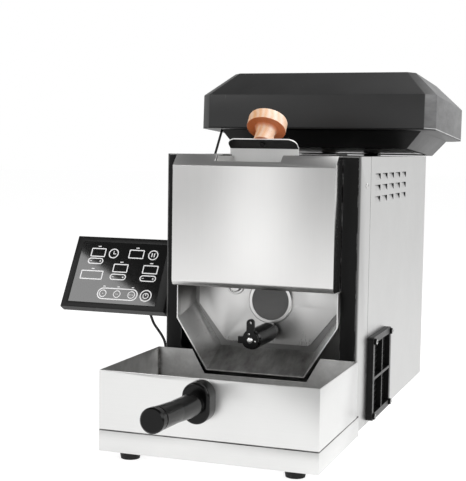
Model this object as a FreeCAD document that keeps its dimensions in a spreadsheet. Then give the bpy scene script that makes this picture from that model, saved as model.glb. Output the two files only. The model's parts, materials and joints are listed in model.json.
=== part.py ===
import FreeCAD, Part
import Sketcher
import math
import os
import re

# Home coffee bean roaster: a horizontal drum in a sheet-steel casing, fed from a hopper in front of
# the drum, emptied through a swinging door and a chute into a pull-out cooling tray, with a hinged
# smoke and chaff hood over the back half and a touch panel on the left.
# Millimetres. While modelling: X to the right, Y to the back from the casing's front, Z up from the
# table. Every piece is then moved so that the origin is under the middle of the whole machine.

Vector = FreeCAD.Vector
doc = FreeCAD.newDocument("coffee_roaster")
sheet = doc.addObject("Spreadsheet::Sheet", "dims")

# Driving dimensions: name, value, meaning.
DIMENSIONS = [
    ("casing_wide", 214, "outside width of the casing"),
    ("drive_room", 85.5, "room for the drive, from the bulkhead's back to the casing's back"),
    ("casing_top", 300, "height of the casing's top above the table"),
    ("sheet_thick", 1.2, "thickness of the casing's sheet"),
    ("foot_tall", 8, "height of a rubber foot"),
    ("foot_radius", 11, "radius of a rubber foot"),
    ("foot_inset", 22, "foot's centre in from the casing's sides"),
    ("foot_from_end", 16, "foot's centre from the base's front and back"),
    ("air_gap", 0.3, "gap between neighbouring pieces of different bodies"),
    ("strip_deep", 52, "depth of the side strip beside a column"),
    ("seam", 0.6, "open seam between two side sheets"),
    ("screw_radius", 3, "radius of a sheet screw's head"),
    ("screw_tall", 1.6, "height of a sheet screw's head"),
    ("plate_at", 32, "front face of the drum's front plate, behind the casing's front"),
    ("plate_thick", 1.5, "thickness of the drum's front plate and the bulkhead"),
    ("cover_out", 30, "how far the front cover stands out"),
    ("cover_wide", 178, "width of the front cover"),
    ("cover_low", 159.5, "height of the cover's lower edge"),
    ("cover_bevel", 12, "height and depth of the bevel along the cover's top"),
    ("cover_round", 7, "rounding of the cover's lower edge"),
    ("cover_lap", 6, "how far the cover's sides reach in between the columns"),
    ("mouth_left", 7, "how far the hopper's mouth sits to the left of the middle"),
    ("mouth_wide", 73, "width of the hopper's mouth"),
    ("mouth_rise", 5, "height of the mouth's front edge above the foot of the bevel"),
    ("hopper_fall", 30, "fall of the hopper's floor from the cover to the gate"),
    ("gate_thick", 1.5, "thickness of the feed gate"),
    ("gate_over", 4, "overlap of the gate over the feed window"),
    ("window_low", 204, "height of the feed window's lower edge"),
    ("window_tall", 30, "height of the feed window"),
    ("window_wide", 40, "width of the feed window"),
    ("lip_long", 17, "slanted length of the gate's lip"),
    ("lip_angle", 36, "slope of the gate's lip"),
    ("lip_wide", 78, "width of the gate's lip"),
    ("gate_stand", 7.5, "height of the gate's bend above the casing's top"),
    ("knob_radius", 21.5, "radius of the wooden knob's cap"),
    ("knob_band", 13, "height of the cap's band"),
    ("knob_dome", 3, "rise of the cap's dome"),
    ("stem_radius", 10, "radius of the knob's stem"),
    ("stem_long", 18.8, "length of the knob's stem"),
    ("drum_up", 168, "height of the drum's axis"),
    ("drum_radius", 70, "outside radius of the drum"),
    ("drum_wall", 1.5, "thickness of the drum's wall"),
    ("drum_long", 240, "length of the drum"),
    ("drum_gap", 6.5, "gap between the front plate and the drum"),
    ("vane_tall", 14, "height of a mixing vane"),
    ("vane_thick", 1.5, "thickness of a mixing vane"),
    ("vane_count", 6, "number of mixing vanes"),
    ("chamber_radius", 86, "inside radius of the roasting chamber"),
    ("chamber_wall", 6, "thickness of the chamber's insulated wall"),
    ("shaft_radius", 5, "radius of the drum's shaft"),
    ("run_clear", 0.05, "radial clearance of a running fit"),
    ("bearing_radius", 13, "outside radius of a drum bearing"),
    ("bearing_long", 8, "length of a drum bearing"),
    ("hub_radius", 18, "radius of the bearing housing"),
    ("gear_module", 1.8, "module of the drum's gears"),
    ("gear_teeth", 48, "teeth of the drum's gear"),
    ("pinion_teeth", 12, "teeth of the motor's pinion"),
    ("gear_wide", 8, "width of the drum's gear"),
    ("gear_after", 24, "drum gear's front face behind the bulkhead"),
    ("gear_plate_after", 36, "gear plate behind the bulkhead"),
    ("motor_radius", 18.5, "radius of the drum motor"),
    ("motor_long", 38, "length of the drum motor"),
    ("rod_radius", 3.5, "radius of a heater rod"),
    ("duct_radius", 29, "outside radius of the smoke duct"),
    ("duct_before", 38, "smoke duct's axis in front of the bulkhead"),
]
DIMENSIONS += [
    ("door_half", 80, "half of the discharge door's width"),
    ("door_foot", 48, "half of the door's width at its lower edge"),
    ("door_low", 94, "height of the door's lower edge"),
    ("door_knee", 134, "height where the door begins to narrow"),
    ("door_top", 174, "height of the door's upper edge"),
    ("door_lap", 5, "overlap of the door over its opening"),
    ("door_pin_up", 180, "height of the door's hinge pin"),
    ("door_pin_radius", 2, "radius of the door's hinge pin"),
    ("glass_aside", 4, "sight glass to the right of the middle"),
    ("glass_up", 141, "height of the sight glass"),
    ("glass_radius", 22, "radius of the sight glass"),
    ("glass_ring", 3, "width of the sight glass's ring"),
    ("port_aside", 37, "sampling port to the left of the middle"),
    ("port_up", 156, "height of the sampling port"),
    ("port_radius", 10, "radius of the sampling port's cap"),
    ("grip_aside", 6, "door grip to the right of the middle"),
    ("grip_up", 109, "height of the door grip's axis"),
    ("grip_radius", 10.5, "radius of the door grip"),
    ("grip_long", 72, "length of the door grip"),
    ("latch_long", 22, "length of the latch lever from its axis"),
    ("latch_wide", 8, "width of the latch lever"),
    ("latch_thick", 4, "thickness of the latch lever"),
    ("latch_rod_radius", 2.5, "radius of the rod that turns in the grip"),
    ("chute_out", 12, "how far the chute stands out of the casing"),
    ("chute_proud", 1, "chute's side outside the front cover's side"),
    ("chute_taper", 4, "narrowing of each side of the chute towards the plate"),
    ("chute_foot", 55, "half of the chute's lip"),
    ("chute_top", 158, "height of the chute's upper edge"),
    ("chute_knee", 122, "height where the chute begins to narrow at its front"),
    ("chute_knee_back", 136, "height where the chute begins to narrow at the plate"),
    ("chute_lip", 67, "height of the chute's lip"),
    ("chute_fall", 20, "fall of the chute's floor"),
    ("tray_wide", 224, "outside width of the cooling tray"),
    ("tray_front", 156, "tray's front before the casing"),
    ("tray_back", 9.5, "gap between the tray's back and the casing's front"),
    ("tray_low", 29.5, "height of the tray's underside"),
    ("tray_rim", 88.7, "height of the tray's rim"),
    ("tray_wall", 1.2, "thickness of the tray's sheet"),
    ("tray_ledge", 9, "width of the ledge that carries the screen"),
    ("screen_thick", 1, "thickness of the tray's screen"),
    ("slot_wide", 3, "width of a slot in the screen"),
    ("slot_pitch", 12, "distance between the screen's slots"),
    ("slot_rows", 3, "rows of slots in the screen"),
    ("chute_clear", 2.5, "clearance of the tray's notch round the chute"),
    ("handle_left", 4, "tray handle to the left of the middle"),
    ("handle_up", 68, "height of the tray handle's foot"),
    ("handle_radius", 11, "radius of the tray handle"),
    ("handle_long", 101, "length of the tray handle's barrel"),
    ("handle_rise", 3.5, "upward tilt of the tray handle"),
    ("pad_wide", 28, "width of the handle's foot"),
    ("pad_tall", 40, "height of the handle's foot"),
    ("pad_thick", 18, "thickness of the handle's foot"),
    ("hinge_back", 6, "hood's hinge pin behind the casing"),
    ("hinge_down", 5, "hood's hinge pin below the casing's top"),
    ("hinge_radius", 2.5, "radius of the hood's hinge pin"),
    ("hinge_leaf", 2, "thickness of a hinge leaf"),
    ("hood_prop", 3, "angle at which the stay props the hood"),
    ("hood_half", 148, "half of the hood's width"),
    ("hood_past", 36.5, "hood's back behind its hinge, when shut"),
    ("hood_long", 226.5, "length of the hood"),
    ("hood_stand", 22, "hood's rim above the casing's top, when shut"),
    ("hood_wall", 42, "height of the hood's side walls"),
    ("hood_bevel", 31.5, "width of the bevel round the hood's top"),
    ("hood_rise", 30, "height of the bevel round the hood's top"),
    ("hood_corner", 12.3, "chamfer of the hood's upright corners"),
    ("hood_skin", 2.5, "thickness of the hood's walls"),
    ("skirt_half", 128, "half of the skirt's width under the rim"),
    ("skirt_half_low", 111, "half of the skirt's width at the casing"),
    ("skirt_fore", 164, "skirt's front before the hood's hinge, under the rim"),
    ("skirt_fore_low", 160, "skirt's front before the hood's hinge, at the casing"),
    ("skirt_past", 28, "skirt's back behind the hood's hinge, under the rim"),
    ("skirt_past_low", 18, "skirt's back behind the hood's hinge, at the casing"),
    ("skirt_lift", 1.5, "skirt's lower edge above the casing's top, when shut"),
    ("filter_ledge", 6, "width of the ledge that carries the chaff filter"),
    ("filter_thick", 2, "thickness of the chaff filter"),
    ("filter_rows", 9, "rows of slots in the chaff filter"),
    ("hinge_span", 60, "half of the hood hinge's width"),
    ("stay_radius", 1.5, "radius of the hood's stay"),
    ("stay_off", 14, "hood's stay to the left of the casing"),
    ("stay_in", 10, "stay's upper end behind the hood's front"),
    ("stay_slant", 52, "stay's pivot before its upper end"),
    ("stay_foot_up", 262, "height of the stay's pivot"),
    ("fan_size", 92, "side of the cooling fan"),
    ("fan_thick", 25, "thickness of the cooling fan"),
    ("fan_after", 1, "fan guard's front edge behind the side seam"),
    ("fan_low", 12, "height of the fan guard's lower edge"),
    ("fan_bolts", 82.5, "spacing of the fan's screw holes"),
    ("fan_bore", 42, "radius of the fan's bore"),
    ("fan_hub", 17, "radius of the fan's hub"),
    ("fan_blades", 7, "number of the fan's blades"),
    ("fan_recess", 4, "fan's rotor behind the frame's face"),
    ("guard_thick", 7, "thickness of the fan guard"),
    ("guard_rim", 7, "width of the fan guard's rim"),
    ("mesh_count", 12, "holes in a row of the guard's pierced sheet"),
    ("guard_bar", 3, "width of the fan guard's cross bars"),
    ("louvre_rows", 3, "rows of louvres"),
    ("louvre_count", 5, "louvres in a row"),
    ("louvre_first", 87, "first louvre's middle behind the casing's front"),
    ("louvre_pitch", 36, "distance between louvres along a row"),
    ("louvre_wide", 26, "width of a louvre"),
    ("louvre_tall", 7, "height of a louvre"),
    ("louvre_drop", 12.5, "distance between rows of louvres"),
    ("louvre_up", 278, "height of the upper row of louvres"),
    ("louvre_out", 2.2, "how far a louvre's hood stands out"),
    ("panel_wide", 128, "width of the touch panel"),
    ("panel_tall", 89, "slanted height of the touch panel"),
    ("panel_thick", 20, "thickness of the touch panel"),
    ("panel_off", 2, "gap between the touch panel and the casing"),
    ("panel_lean", 31, "lean of the touch panel from upright"),
    ("panel_low", 125.4, "height of the panel face's lower edge"),
    ("panel_fore", 4, "panel face's lower edge before the casing's front"),
    ("panel_round", 1.5, "rounding of the touch panel's edges"),
    ("panel_bevel", 9, "bevel along the panel's lower back edge"),
    ("screen_side", 8.5, "rim of the housing beside the panel's glass"),
    ("screen_end", 6.5, "rim of the housing above and below the glass"),
    ("screen_right", 12, "rim of the housing at the glass's right end"),
    ("screen_deep", 1.6, "thickness of the panel's glass"),
    ("cable_radius", 1.5, "radius of the panel's cable"),
    ("cable_in_y", 38, "cable's grommet behind the casing's front"),
    ("cable_in_z", 65, "height of the cable's grommet"),
    ("gland_left", 140, "cable's gland to the left of the middle"),
    ("gland_long", 4, "length of the gland on the panel's back"),
    ("gland_radius", 3.4, "radius of the gland on the panel's back"),
    ("inlet_wide", 28, "width of the power inlet's opening"),
    ("inlet_tall", 20, "height of the power inlet's opening"),
    ("inlet_up", 46, "height of the power inlet's middle"),
    ("inlet_aside", 55, "power inlet to the left of the middle"),
    ("switch_wide", 14, "width of the power switch's rocker"),
    ("switch_tall", 20, "height of the power switch's rocker"),
    ("rocker_tilt", 8, "tilt of the power switch's rocker either way"),
    ("strip_screw_y", 32, "side strip's screw behind the casing's front"),
    ("strip_screw_z", 269.4, "height of the side strip's screw"),
    ("rear_screw_in", 8, "rear panel's screws from the casing's sides"),
    ("rear_screw_low", 20, "height of the rear panel's lower screws"),
    ("rear_screw_high", 285, "height of the rear panel's upper screws"),
    ("switch_aside", 5, "power switch to the left of the middle"),
]

# Lengths that follow from the driving dimensions.
DERIVED = {
    "casing_half": "casing_wide/2",
    "inner_half": "casing_half - sheet_thick",
    "seam_at": "strip_deep",
    "column_wide": "casing_half - cover_wide/2 - air_gap",
    "column_in": "casing_half - column_wide",
    "rod_ring": "(drum_radius + chamber_radius)/2",
    "plate_back": "plate_at + plate_thick",
    "mouth_mid": "-mouth_left",
    "mouth_half": "mouth_wide/2",
    "mouth_edge": "casing_top - cover_bevel + mouth_rise",
    "shaft_back": "gear_plate_at + bearing_long + 2",
    "gate_back": "plate_at - air_gap",
    "gate_front": "gate_back - gate_thick",
    "gate_top": "casing_top + gate_stand",
    "drum_front": "plate_back + drum_gap",
    "drum_back": "drum_front + drum_long",
    "bulk_at": "drum_back + 2*drum_gap",
    "bulk_back": "bulk_at + plate_thick",
    "casing_deep": "bulk_back + drive_room",
    "chute_half": "cover_wide/2 + chute_proud",
    "chute_half_back": "chute_half - chute_taper",
    "stay_aside": "casing_half + stay_off",
    "gear_at": "bulk_back + gear_after",
    "gear_plate_at": "bulk_back + gear_plate_after",
    "gear_reach": "gear_module*(gear_teeth + pinion_teeth)/2",
    "pinion_x": "gear_reach*0.6",
    "pinion_z": "drum_up - gear_reach*0.8",
    "duct_at": "bulk_at - duct_before",
    "door_back": "plate_at - air_gap",
    "door_front": "door_back - plate_thick",
    "door_pin_at": "door_back - door_pin_radius - plate_thick",
    "hinge_at": "casing_deep + hinge_back",
    "hinge_z": "casing_top - hinge_down",
    "hood_back": "hinge_at + hood_past",
    "hood_front": "hood_back - hood_long",
    "skirt_front": "hinge_at - skirt_fore",
    "skirt_front_low": "hinge_at - skirt_fore_low",
    "skirt_back": "hinge_at + skirt_past",
    "skirt_back_low": "hinge_at + skirt_past_low",
    "rim_z": "casing_top + hood_stand",
    "stay_top": "hood_front + stay_in",
    "stay_foot": "stay_top - stay_slant",
    "stay_run": "hinge_at + (stay_top - hinge_at)*cos(hood_prop)"
                " + (rim_z - hinge_z)*sin(hood_prop) - stay_foot",
    "stay_up": "hinge_z - (stay_top - hinge_at)*sin(hood_prop)"
               " + (rim_z - hinge_z)*cos(hood_prop) - stay_foot_up",
    "stay_long": "sqrt(stay_run^2 + stay_up^2) - 2*air_gap",
    "fan_at": "seam_at + seam + fan_after",
    "fan_mid_y": "fan_at + fan_size/2",
    "fan_mid_z": "fan_low + fan_size/2",
    "panel_right": "-casing_half - panel_off",
    "panel_left": "panel_right - panel_wide",
    "handle_end": "tray_front + pad_thick + handle_long*cos(handle_rise) + handle_radius*sin(handle_rise)",
    "hood_reach": "hinge_at + (hood_back - hinge_at)*cos(hood_prop)"
                  " + (rim_z + hood_wall - hinge_z)*sin(hood_prop)",
    "origin_x": "(panel_left + hood_half)/2",
    "origin_y": "(hood_reach - handle_end)/2",
}


def fill_sheet():
    """Write every driving dimension in the spreadsheet, with its name as the alias."""
    for row, (name, size, meaning) in enumerate(DIMENSIONS, start=1):
        sheet.set(f"A{row}", name)
        sheet.set(f"B{row}", str(size))
        sheet.set(f"C{row}", meaning)
        sheet.setAlias(f"B{row}", name)
    doc.recompute()


WORD = re.compile(r"[a-z][a-z_]+")
ALIASES = {name for name, size, meaning in DIMENSIONS}


def formula(text):
    """Spell out a length in terms of the spreadsheet's cells."""
    def spell(found):
        word = found.group(0)
        if word in ALIASES:
            return "dims." + word
        return f"({formula(DERIVED[word])})" if word in DERIVED else word
    return WORD.sub(spell, str(text))


def size_of(text):
    """The value of a length now, in millimetres."""
    return float(sheet.evalExpression(formula(text)))


def bind(thing, **lengths):
    """Bind properties of an object to lengths; two underscores stand for a dot in their names."""
    for prop, text in lengths.items():
        thing.setExpression(prop.replace("__", "."), formula(text))
    return thing


def place(thing, x="0", y="0", z="0"):
    """Put an object where x, y and z say, moved with the whole machine to its origin."""
    return bind(thing, Placement__Base__x=f"{x} - origin_x", Placement__Base__y=f"{y} - origin_y",
                Placement__Base__z=z)


def turn(thing, axis, degrees):
    """Turn an object about an axis; its place is bound afterwards."""
    thing.Placement = FreeCAD.Placement(Vector(), FreeCAD.Rotation(Vector(*axis), size_of(degrees)))
    return thing


TURNS = {"x": ((0, 1, 0), 90), "y": ((1, 0, 0), -90), "z": ((0, 0, 1), 0)}


def rod(name, radius, axis, span, across):
    """A cylinder along an axis, over a span, with its centre across the other two axes."""
    tube = doc.addObject("Part::Cylinder", name)
    turn(tube, *TURNS[axis])
    bind(tube, Radius=radius, Height=f"{span[1]} - ({span[0]})")
    spots = list(across)
    spots.insert("xyz".index(axis), span[0])
    return place(tube, *spots)


def join(name, *pieces):
    """One solid from several that meet."""
    whole = doc.addObject("Part::MultiFuse", name)
    whole.Shapes = list(pieces)
    whole.Refine = True
    return whole


def group(name, *pieces):
    """Several separate solids that share a node."""
    whole = doc.addObject("Part::Compound", name)
    whole.Links = list(pieces)
    return whole


def cut(name, base, *tools):
    """A solid less its cutting tools."""
    rest = doc.addObject("Part::Cut", name)
    rest.Base = base
    rest.Tool = tools[0] if len(tools) == 1 else group(name + "_tools", *tools)
    return rest


def body(name):
    """A PartDesign body that stands at the machine's origin."""
    return place(doc.addObject("PartDesign::Body", name))


ROLES = {"xy": "XY_Plane", "xz": "XZ_Plane", "yz": "YZ_Plane"}


def sketch(part, plane, at, *loops):
    """A sketch on one of the body's own planes, at a distance along X, Y or Z, with closed loops."""
    page = part.newObject("Sketcher::SketchObject", f"{part.Name}_sketch")
    home = next(o for o in part.Origin.OriginFeatures if o.Role == ROLES[plane])
    page.AttachmentSupport = [(home, "")]
    page.MapMode = "FlatFace"
    side = "-" if plane == "xz" else ""
    bind(page, AttachmentOffset__Base__z=f"{side}({at})")
    for loop in loops:
        loop(page)
    return page


def hold(page, rules):
    """Add constraints to a sketch at once; a rule that comes with a length is bound to it."""
    first = page.ConstraintCount
    page.addConstraint([rule for rule, text in rules])
    for number, (rule, text) in enumerate(rules, start=first):
        if text is not None:
            page.setExpression(f"Constraints[{number}]", formula(text))


def outline(*corners):
    """A closed polygon whose corners are bound lengths, each (across, up)."""
    def draw(page):
        spots = [Vector(size_of(across), size_of(up), 0) for across, up in corners]
        sides = page.addGeometry([Part.LineSegment(spot, spots[(number + 1) % len(spots)])
                                  for number, spot in enumerate(spots)])
        rules = []
        for side, after, spot, (across, up) in zip(sides, sides[1:] + sides[:1], spots, corners):
            rules += [(Sketcher.Constraint("Coincident", side, 2, after, 1), None),
                      (Sketcher.Constraint("DistanceX", -1, 1, side, 1, spot.x), across),
                      (Sketcher.Constraint("DistanceY", -1, 1, side, 1, spot.y), up)]
        hold(page, rules)
    return draw


def round_edges(part, radius, wanted):
    """Round the edges of the body's tip that a test on their middle point and edge picks out."""
    tip = part.Tip
    chosen = [f"Edge{number}" for number, edge in enumerate(tip.Shape.Edges, start=1)
              if wanted(edge.CenterOfMass, edge)]
    if not chosen:
        raise RuntimeError(f"{part.Name}: no edge to round")
    fillet = part.newObject("PartDesign::Fillet", f"{part.Name}_fillet")
    fillet.Base = (tip, chosen)
    bind(fillet, Radius=radius)
    doc.recompute()
    return fillet


def ring(across, up, radius):
    """A circle with a bound centre and radius."""
    def draw(page):
        middle, size = Vector(size_of(across), size_of(up), 0), size_of(radius)
        item = page.addGeometry(Part.Circle(middle, Vector(0, 0, 1), size))
        hold(page, [(Sketcher.Constraint("DistanceX", -1, 1, item, 3, middle.x), across),
                    (Sketcher.Constraint("DistanceY", -1, 1, item, 3, middle.y), up),
                    (Sketcher.Constraint("Radius", item, size), radius)])
    return draw


def window(x_low, x_high, y_low, y_high):
    """A rectangle between bound lengths."""
    return outline((x_low, y_low), (x_high, y_low), (x_high, y_high), (x_low, y_high))


def mirrored(*corners):
    """A closed polygon with the given right half and its mirror image."""
    return outline(*corners, *[(f"-({across})", up) for across, up in reversed(corners)])


def pad(part, plane, span, *loops):
    """Add a prism between two distances along the plane's normal."""
    solid = part.newObject("PartDesign::Pad", f"{part.Name}_pad")
    solid.Profile = sketch(part, plane, span[1] if plane == "xz" else span[0], *loops)
    bind(solid, Length=f"{span[1]} - ({span[0]})")
    doc.recompute()
    return solid


def pocket(part, plane, span, *loops):
    """Remove a prism between two distances along the plane's normal."""
    before = part.Shape.Volume
    hole = part.newObject("PartDesign::Pocket", f"{part.Name}_pocket")
    hole.Profile = sketch(part, plane, span[0] if plane == "xz" else span[1], *loops)
    bind(hole, Length=f"{span[1]} - ({span[0]})")
    doc.recompute()
    if part.Shape.Volume > before - 0.01:
        raise RuntimeError(f"{part.Name}: a pocket removes nothing")
    return hole


def lathe(part, *corners):
    """Add a solid turned about the body's Z axis from a closed half outline (radius, height)."""
    solid = part.newObject("PartDesign::Revolution", f"{part.Name}_turned")
    solid.Profile = sketch(part, "xz", "0", outline(*corners))
    solid.ReferenceAxis = (solid.Profile[0], ["V_Axis"])
    solid.Angle = 360
    doc.recompute()
    return solid


def loft(part, plane, low, high, kind="PartDesign::AdditiveLoft"):
    """Add or remove a ruled loft between two (distance, loop) sections."""
    solid = part.newObject(kind, f"{part.Name}_loft")
    solid.Profile = sketch(part, plane, *low)
    solid.Sections = [sketch(part, plane, *high)]
    solid.Ruled = True
    doc.recompute()
    return solid


def around(part, count, feature):
    """Repeat a feature evenly round the body's own Z axis."""
    pattern = part.newObject("PartDesign::PolarPattern", f"{part.Name}_round")
    pattern.Originals = [feature]
    pattern.Axis = (next(o for o in part.Origin.OriginFeatures if o.Role == "Z_Axis"), [""])
    pattern.Occurrences = int(size_of(count))
    part.Tip = pattern
    doc.recompute()
    return pattern


def along(part, direction, length, count, feature):
    """Repeat a feature evenly over a length, along X_Axis, Y_Axis or Z_Axis of the body."""
    pattern = part.newObject("PartDesign::LinearPattern", f"{part.Name}_row")
    pattern.Originals = [feature]
    pattern.Direction = (next(o for o in part.Origin.OriginFeatures if o.Role == direction), [""])
    pattern.Occurrences = int(size_of(count))
    bind(pattern, Length=length)
    part.Tip = pattern
    doc.recompute()
    return pattern


NODES = []


def node(name, thing):
    """Keep a finished sub-part under the name of its file."""
    thing.Label = name
    NODES.append(thing)
    return thing


fill_sheet()


# Casing


def make_base():
    """The plinth under the tray and the casing's floor, bent from one sheet, on four feet."""
    pan = body("base_pan")
    floor = "foot_tall + sheet_thick"
    wide = "tray_wide/2"
    pad(pan, "xy", ("foot_tall", "tray_low - air_gap"), window(f"-{wide}", wide, "-tray_front", "0"))
    inside = window(f"sheet_thick - {wide}", f"{wide} - sheet_thick", "sheet_thick - tray_front",
                    "-sheet_thick")
    pocket(pan, "xy", (floor, "tray_low - air_gap"), inside)
    pad(pan, "xy", ("foot_tall", floor),
        window("-inner_half", "inner_half", "-sheet_thick", "casing_deep - sheet_thick"))
    way = window("-column_in*0.7", "column_in*0.7", f"{floor} + sheet_thick", "tray_low - 3*sheet_thick")
    pocket(pan, "xz", ("-sheet_thick", "0"), way)
    node("base_pan", pan)
    feet = []
    for number, (side, along) in enumerate((side, along) for side in ("-", "")
                                           for along in ("foot_from_end - tray_front",
                                                         "casing_deep - foot_from_end")):
        foot = doc.addObject("Part::Cone", f"foot_{number}")
        bind(foot, Radius1="foot_radius*0.85", Radius2="foot_radius", Height="foot_tall")
        feet.append(place(foot, f"{side}(casing_half - foot_inset)", along))
    node("rubber_feet", group("feet", *feet))


def make_front_frame():
    """Black columns and apron, folded back into channels behind their faces."""
    frame = body("front_frame")
    low, high, apron = "foot_tall + sheet_thick", "casing_top - sheet_thick", "chute_lip - chute_clear*3"
    face = mirrored(("inner_half", low), ("inner_half", high), ("column_in", high), ("column_in", apron))
    pad(frame, "xz", ("0", "sheet_thick"), face)
    flanges = []
    for side in ("-", ""):
        for edge in ("column_in", "inner_half - sheet_thick"):
            flanges.append(window(*sorted((f"{side}({edge})", f"{side}({edge} + sheet_thick)"), key=size_of),
                                  "sheet_thick", "plate_at"))
    pad(frame, "xy", (low, high), *flanges)
    node("front_frame", frame)


def make_sides():
    """Side strips beside the columns and the side panels behind them."""
    strips = []
    for side, name in (("-", "left"), ("", "right")):
        skin = sorted((f"{side}(inner_half)", f"{side}(casing_half)"), key=size_of)
        strip = body(f"side_strip_{name}")
        strips.append(strip)
        pad(strip, "yz", skin, window("0", "seam_at", "foot_tall", "casing_top"))
        holes = [ring("strip_screw_y", "strip_screw_z", "screw_radius*0.7")]
        if name == "left":
            holes.append(ring("cable_in_y", "cable_in_z", "cable_radius*2"))
        pocket(strip, "yz", skin, *holes)
        panel = body(f"side_panel_{name}")
        pad(panel, "yz", skin, window("seam_at + seam", "casing_deep", "foot_tall", "casing_top"))
        if name == "right":
            cut_fan_opening(panel, skin)
            press_louvres(panel, skin)
        node(f"side_panel_{name}", panel)
    node("side_strips", group("side_strip_pair", *strips))


def cut_fan_opening(panel, skin):
    """The cooling fan's bore and screw holes in the right side panel."""
    holes = [ring("fan_mid_y", "fan_mid_z", "fan_bore")]
    for across in ("-", "+"):
        for up in ("-", "+"):
            holes.append(ring(f"fan_mid_y {across} fan_bolts/2", f"fan_mid_z {up} fan_bolts/2",
                              "screw_radius*0.7"))
    pocket(panel, "yz", skin, *holes)


def press_louvres(panel, skin):
    """Lanced louvres: a slot whose flap leans into the casing towards its top."""
    for column in range(int(size_of("louvre_count"))):
        near = f"louvre_first + {column}*louvre_pitch - louvre_wide/2"
        slots, flaps = [], []
        for row in range(int(size_of("louvre_rows"))):
            low = f"louvre_up - {row}*louvre_drop - louvre_tall/2"
            slots.append(window(near, f"{near} + louvre_wide", low, f"{low} + louvre_tall"))
            lean = "inner_half - louvre_out"
            flaps.append(outline(("inner_half", low), ("casing_half", low),
                                 (f"{lean} + sheet_thick", f"{low} + louvre_tall"),
                                 (lean, f"{low} + louvre_tall")))
        pocket(panel, "yz", skin, *slots)
        pad(panel, "xz", (near, f"{near} + louvre_wide"), *flaps)


def make_top():
    """Top panel with the slot for the feed gate and the smoke duct's hole."""
    top = body("top_panel")
    pad(top, "xy", ("casing_top - sheet_thick", "casing_top"),
        window("-inner_half", "inner_half", "0", "casing_deep"))
    gate = window("mouth_mid - lip_wide/2 - 1", "mouth_mid + lip_wide/2 + 1", "gate_front - 1",
                  "plate_at + air_gap")
    mouth = window("mouth_mid - mouth_half", "mouth_mid + mouth_half", "-1", "gate_front - 0.5")
    pocket(top, "xy", ("casing_top - 2*sheet_thick", "casing_top + 1"), gate)
    pocket(top, "xy", ("casing_top - 2*sheet_thick", "casing_top + 1"), mouth)
    pocket(top, "xy", ("casing_top - 2*sheet_thick", "casing_top + 1"),
           ring("0", "duct_at", "duct_radius + air_gap"))
    node("top_panel", top)


def make_rear():
    """Rear panel with vent slots and the openings for the power inlet and its switch."""
    rear = body("rear_panel")
    skin = ("casing_deep - sheet_thick", "casing_deep")
    pad(rear, "xz", skin, window("-inner_half", "inner_half", "foot_tall", "casing_top - sheet_thick"))
    slots = []
    for row in range(8):
        low = f"drum_up - 20 + {row}*louvre_drop"
        slots.append(window("-louvre_wide*2", "louvre_wide*2", low, f"{low} + slot_wide*1.5"))
    pocket(rear, "xz", skin, *slots)
    inlet = window("-inlet_aside - inlet_wide/2", "-inlet_aside + inlet_wide/2",
                   "inlet_up - inlet_tall/2", "inlet_up + inlet_tall/2")
    switch = window("-switch_aside - switch_wide/2 - 2", "-switch_aside + switch_wide/2 + 2",
                    "inlet_up - switch_tall/2 - 2", "inlet_up + switch_tall/2 + 2")
    pocket(rear, "xz", skin, inlet, switch, *[ring(*spot, "screw_radius*0.7") for spot in rear_screw_spots()])
    node("rear_panel", rear)


def rear_screw_spots():
    """The rear panel's screws, each (across, up)."""
    return [(f"{side}(inner_half - rear_screw_in)", up)
            for side in ("-", "") for up in ("rear_screw_low", "rear_screw_high")]


# Hopper, its cover and the feed gate


def make_cover():
    """The bright front cover, a bent sheet with a bevel along its top and the hopper's mouth in it."""
    cover = body("front_cover")
    face, side = "-cover_out", "cover_wide/2"
    pad(cover, "yz", (f"-{side}", side), outline(
        (face, "cover_low"), (face, "casing_top - cover_bevel"),
        (f"{face} + cover_bevel", "casing_top"), ("-air_gap", "casing_top"),
        ("-air_gap", "casing_top - sheet_thick - air_gap"),
        ("cover_lap", "casing_top - sheet_thick - air_gap"),
        ("cover_lap", "cover_low")))
    fold = Vector(0, size_of(face), size_of("cover_low"))
    round_edges(cover, "cover_round", lambda spot, edge: (spot - fold).Length < 0.1)
    inner, bend = f"{face} + sheet_thick", f"{face} + 2*cover_round"
    hollow = outline(
        (f"{inner} + cover_round/2", "cover_low + sheet_thick"),
        (inner, "cover_low + sheet_thick + cover_round/2"),
        (inner, "casing_top - cover_bevel - sheet_thick/2"),
        (f"{face} + cover_bevel + sheet_thick/2", "casing_top - sheet_thick"),
        ("-air_gap", "casing_top - sheet_thick"), ("-air_gap", "casing_top - sheet_thick - air_gap"),
        ("cover_lap + 1", "casing_top - sheet_thick - air_gap"), ("cover_lap + 1", "cover_low - 1"),
        (bend, "cover_low - 1"), (bend, "cover_low + sheet_thick"))
    pocket(cover, "yz", (f"sheet_thick - {side}", f"{side} - sheet_thick"), hollow)
    mouth = window("mouth_mid - mouth_half", "mouth_mid + mouth_half", f"{face} - 1", "1")
    pocket(cover, "xy", ("mouth_edge", "casing_top + 1"), mouth)
    node("front_cover", cover)


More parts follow.
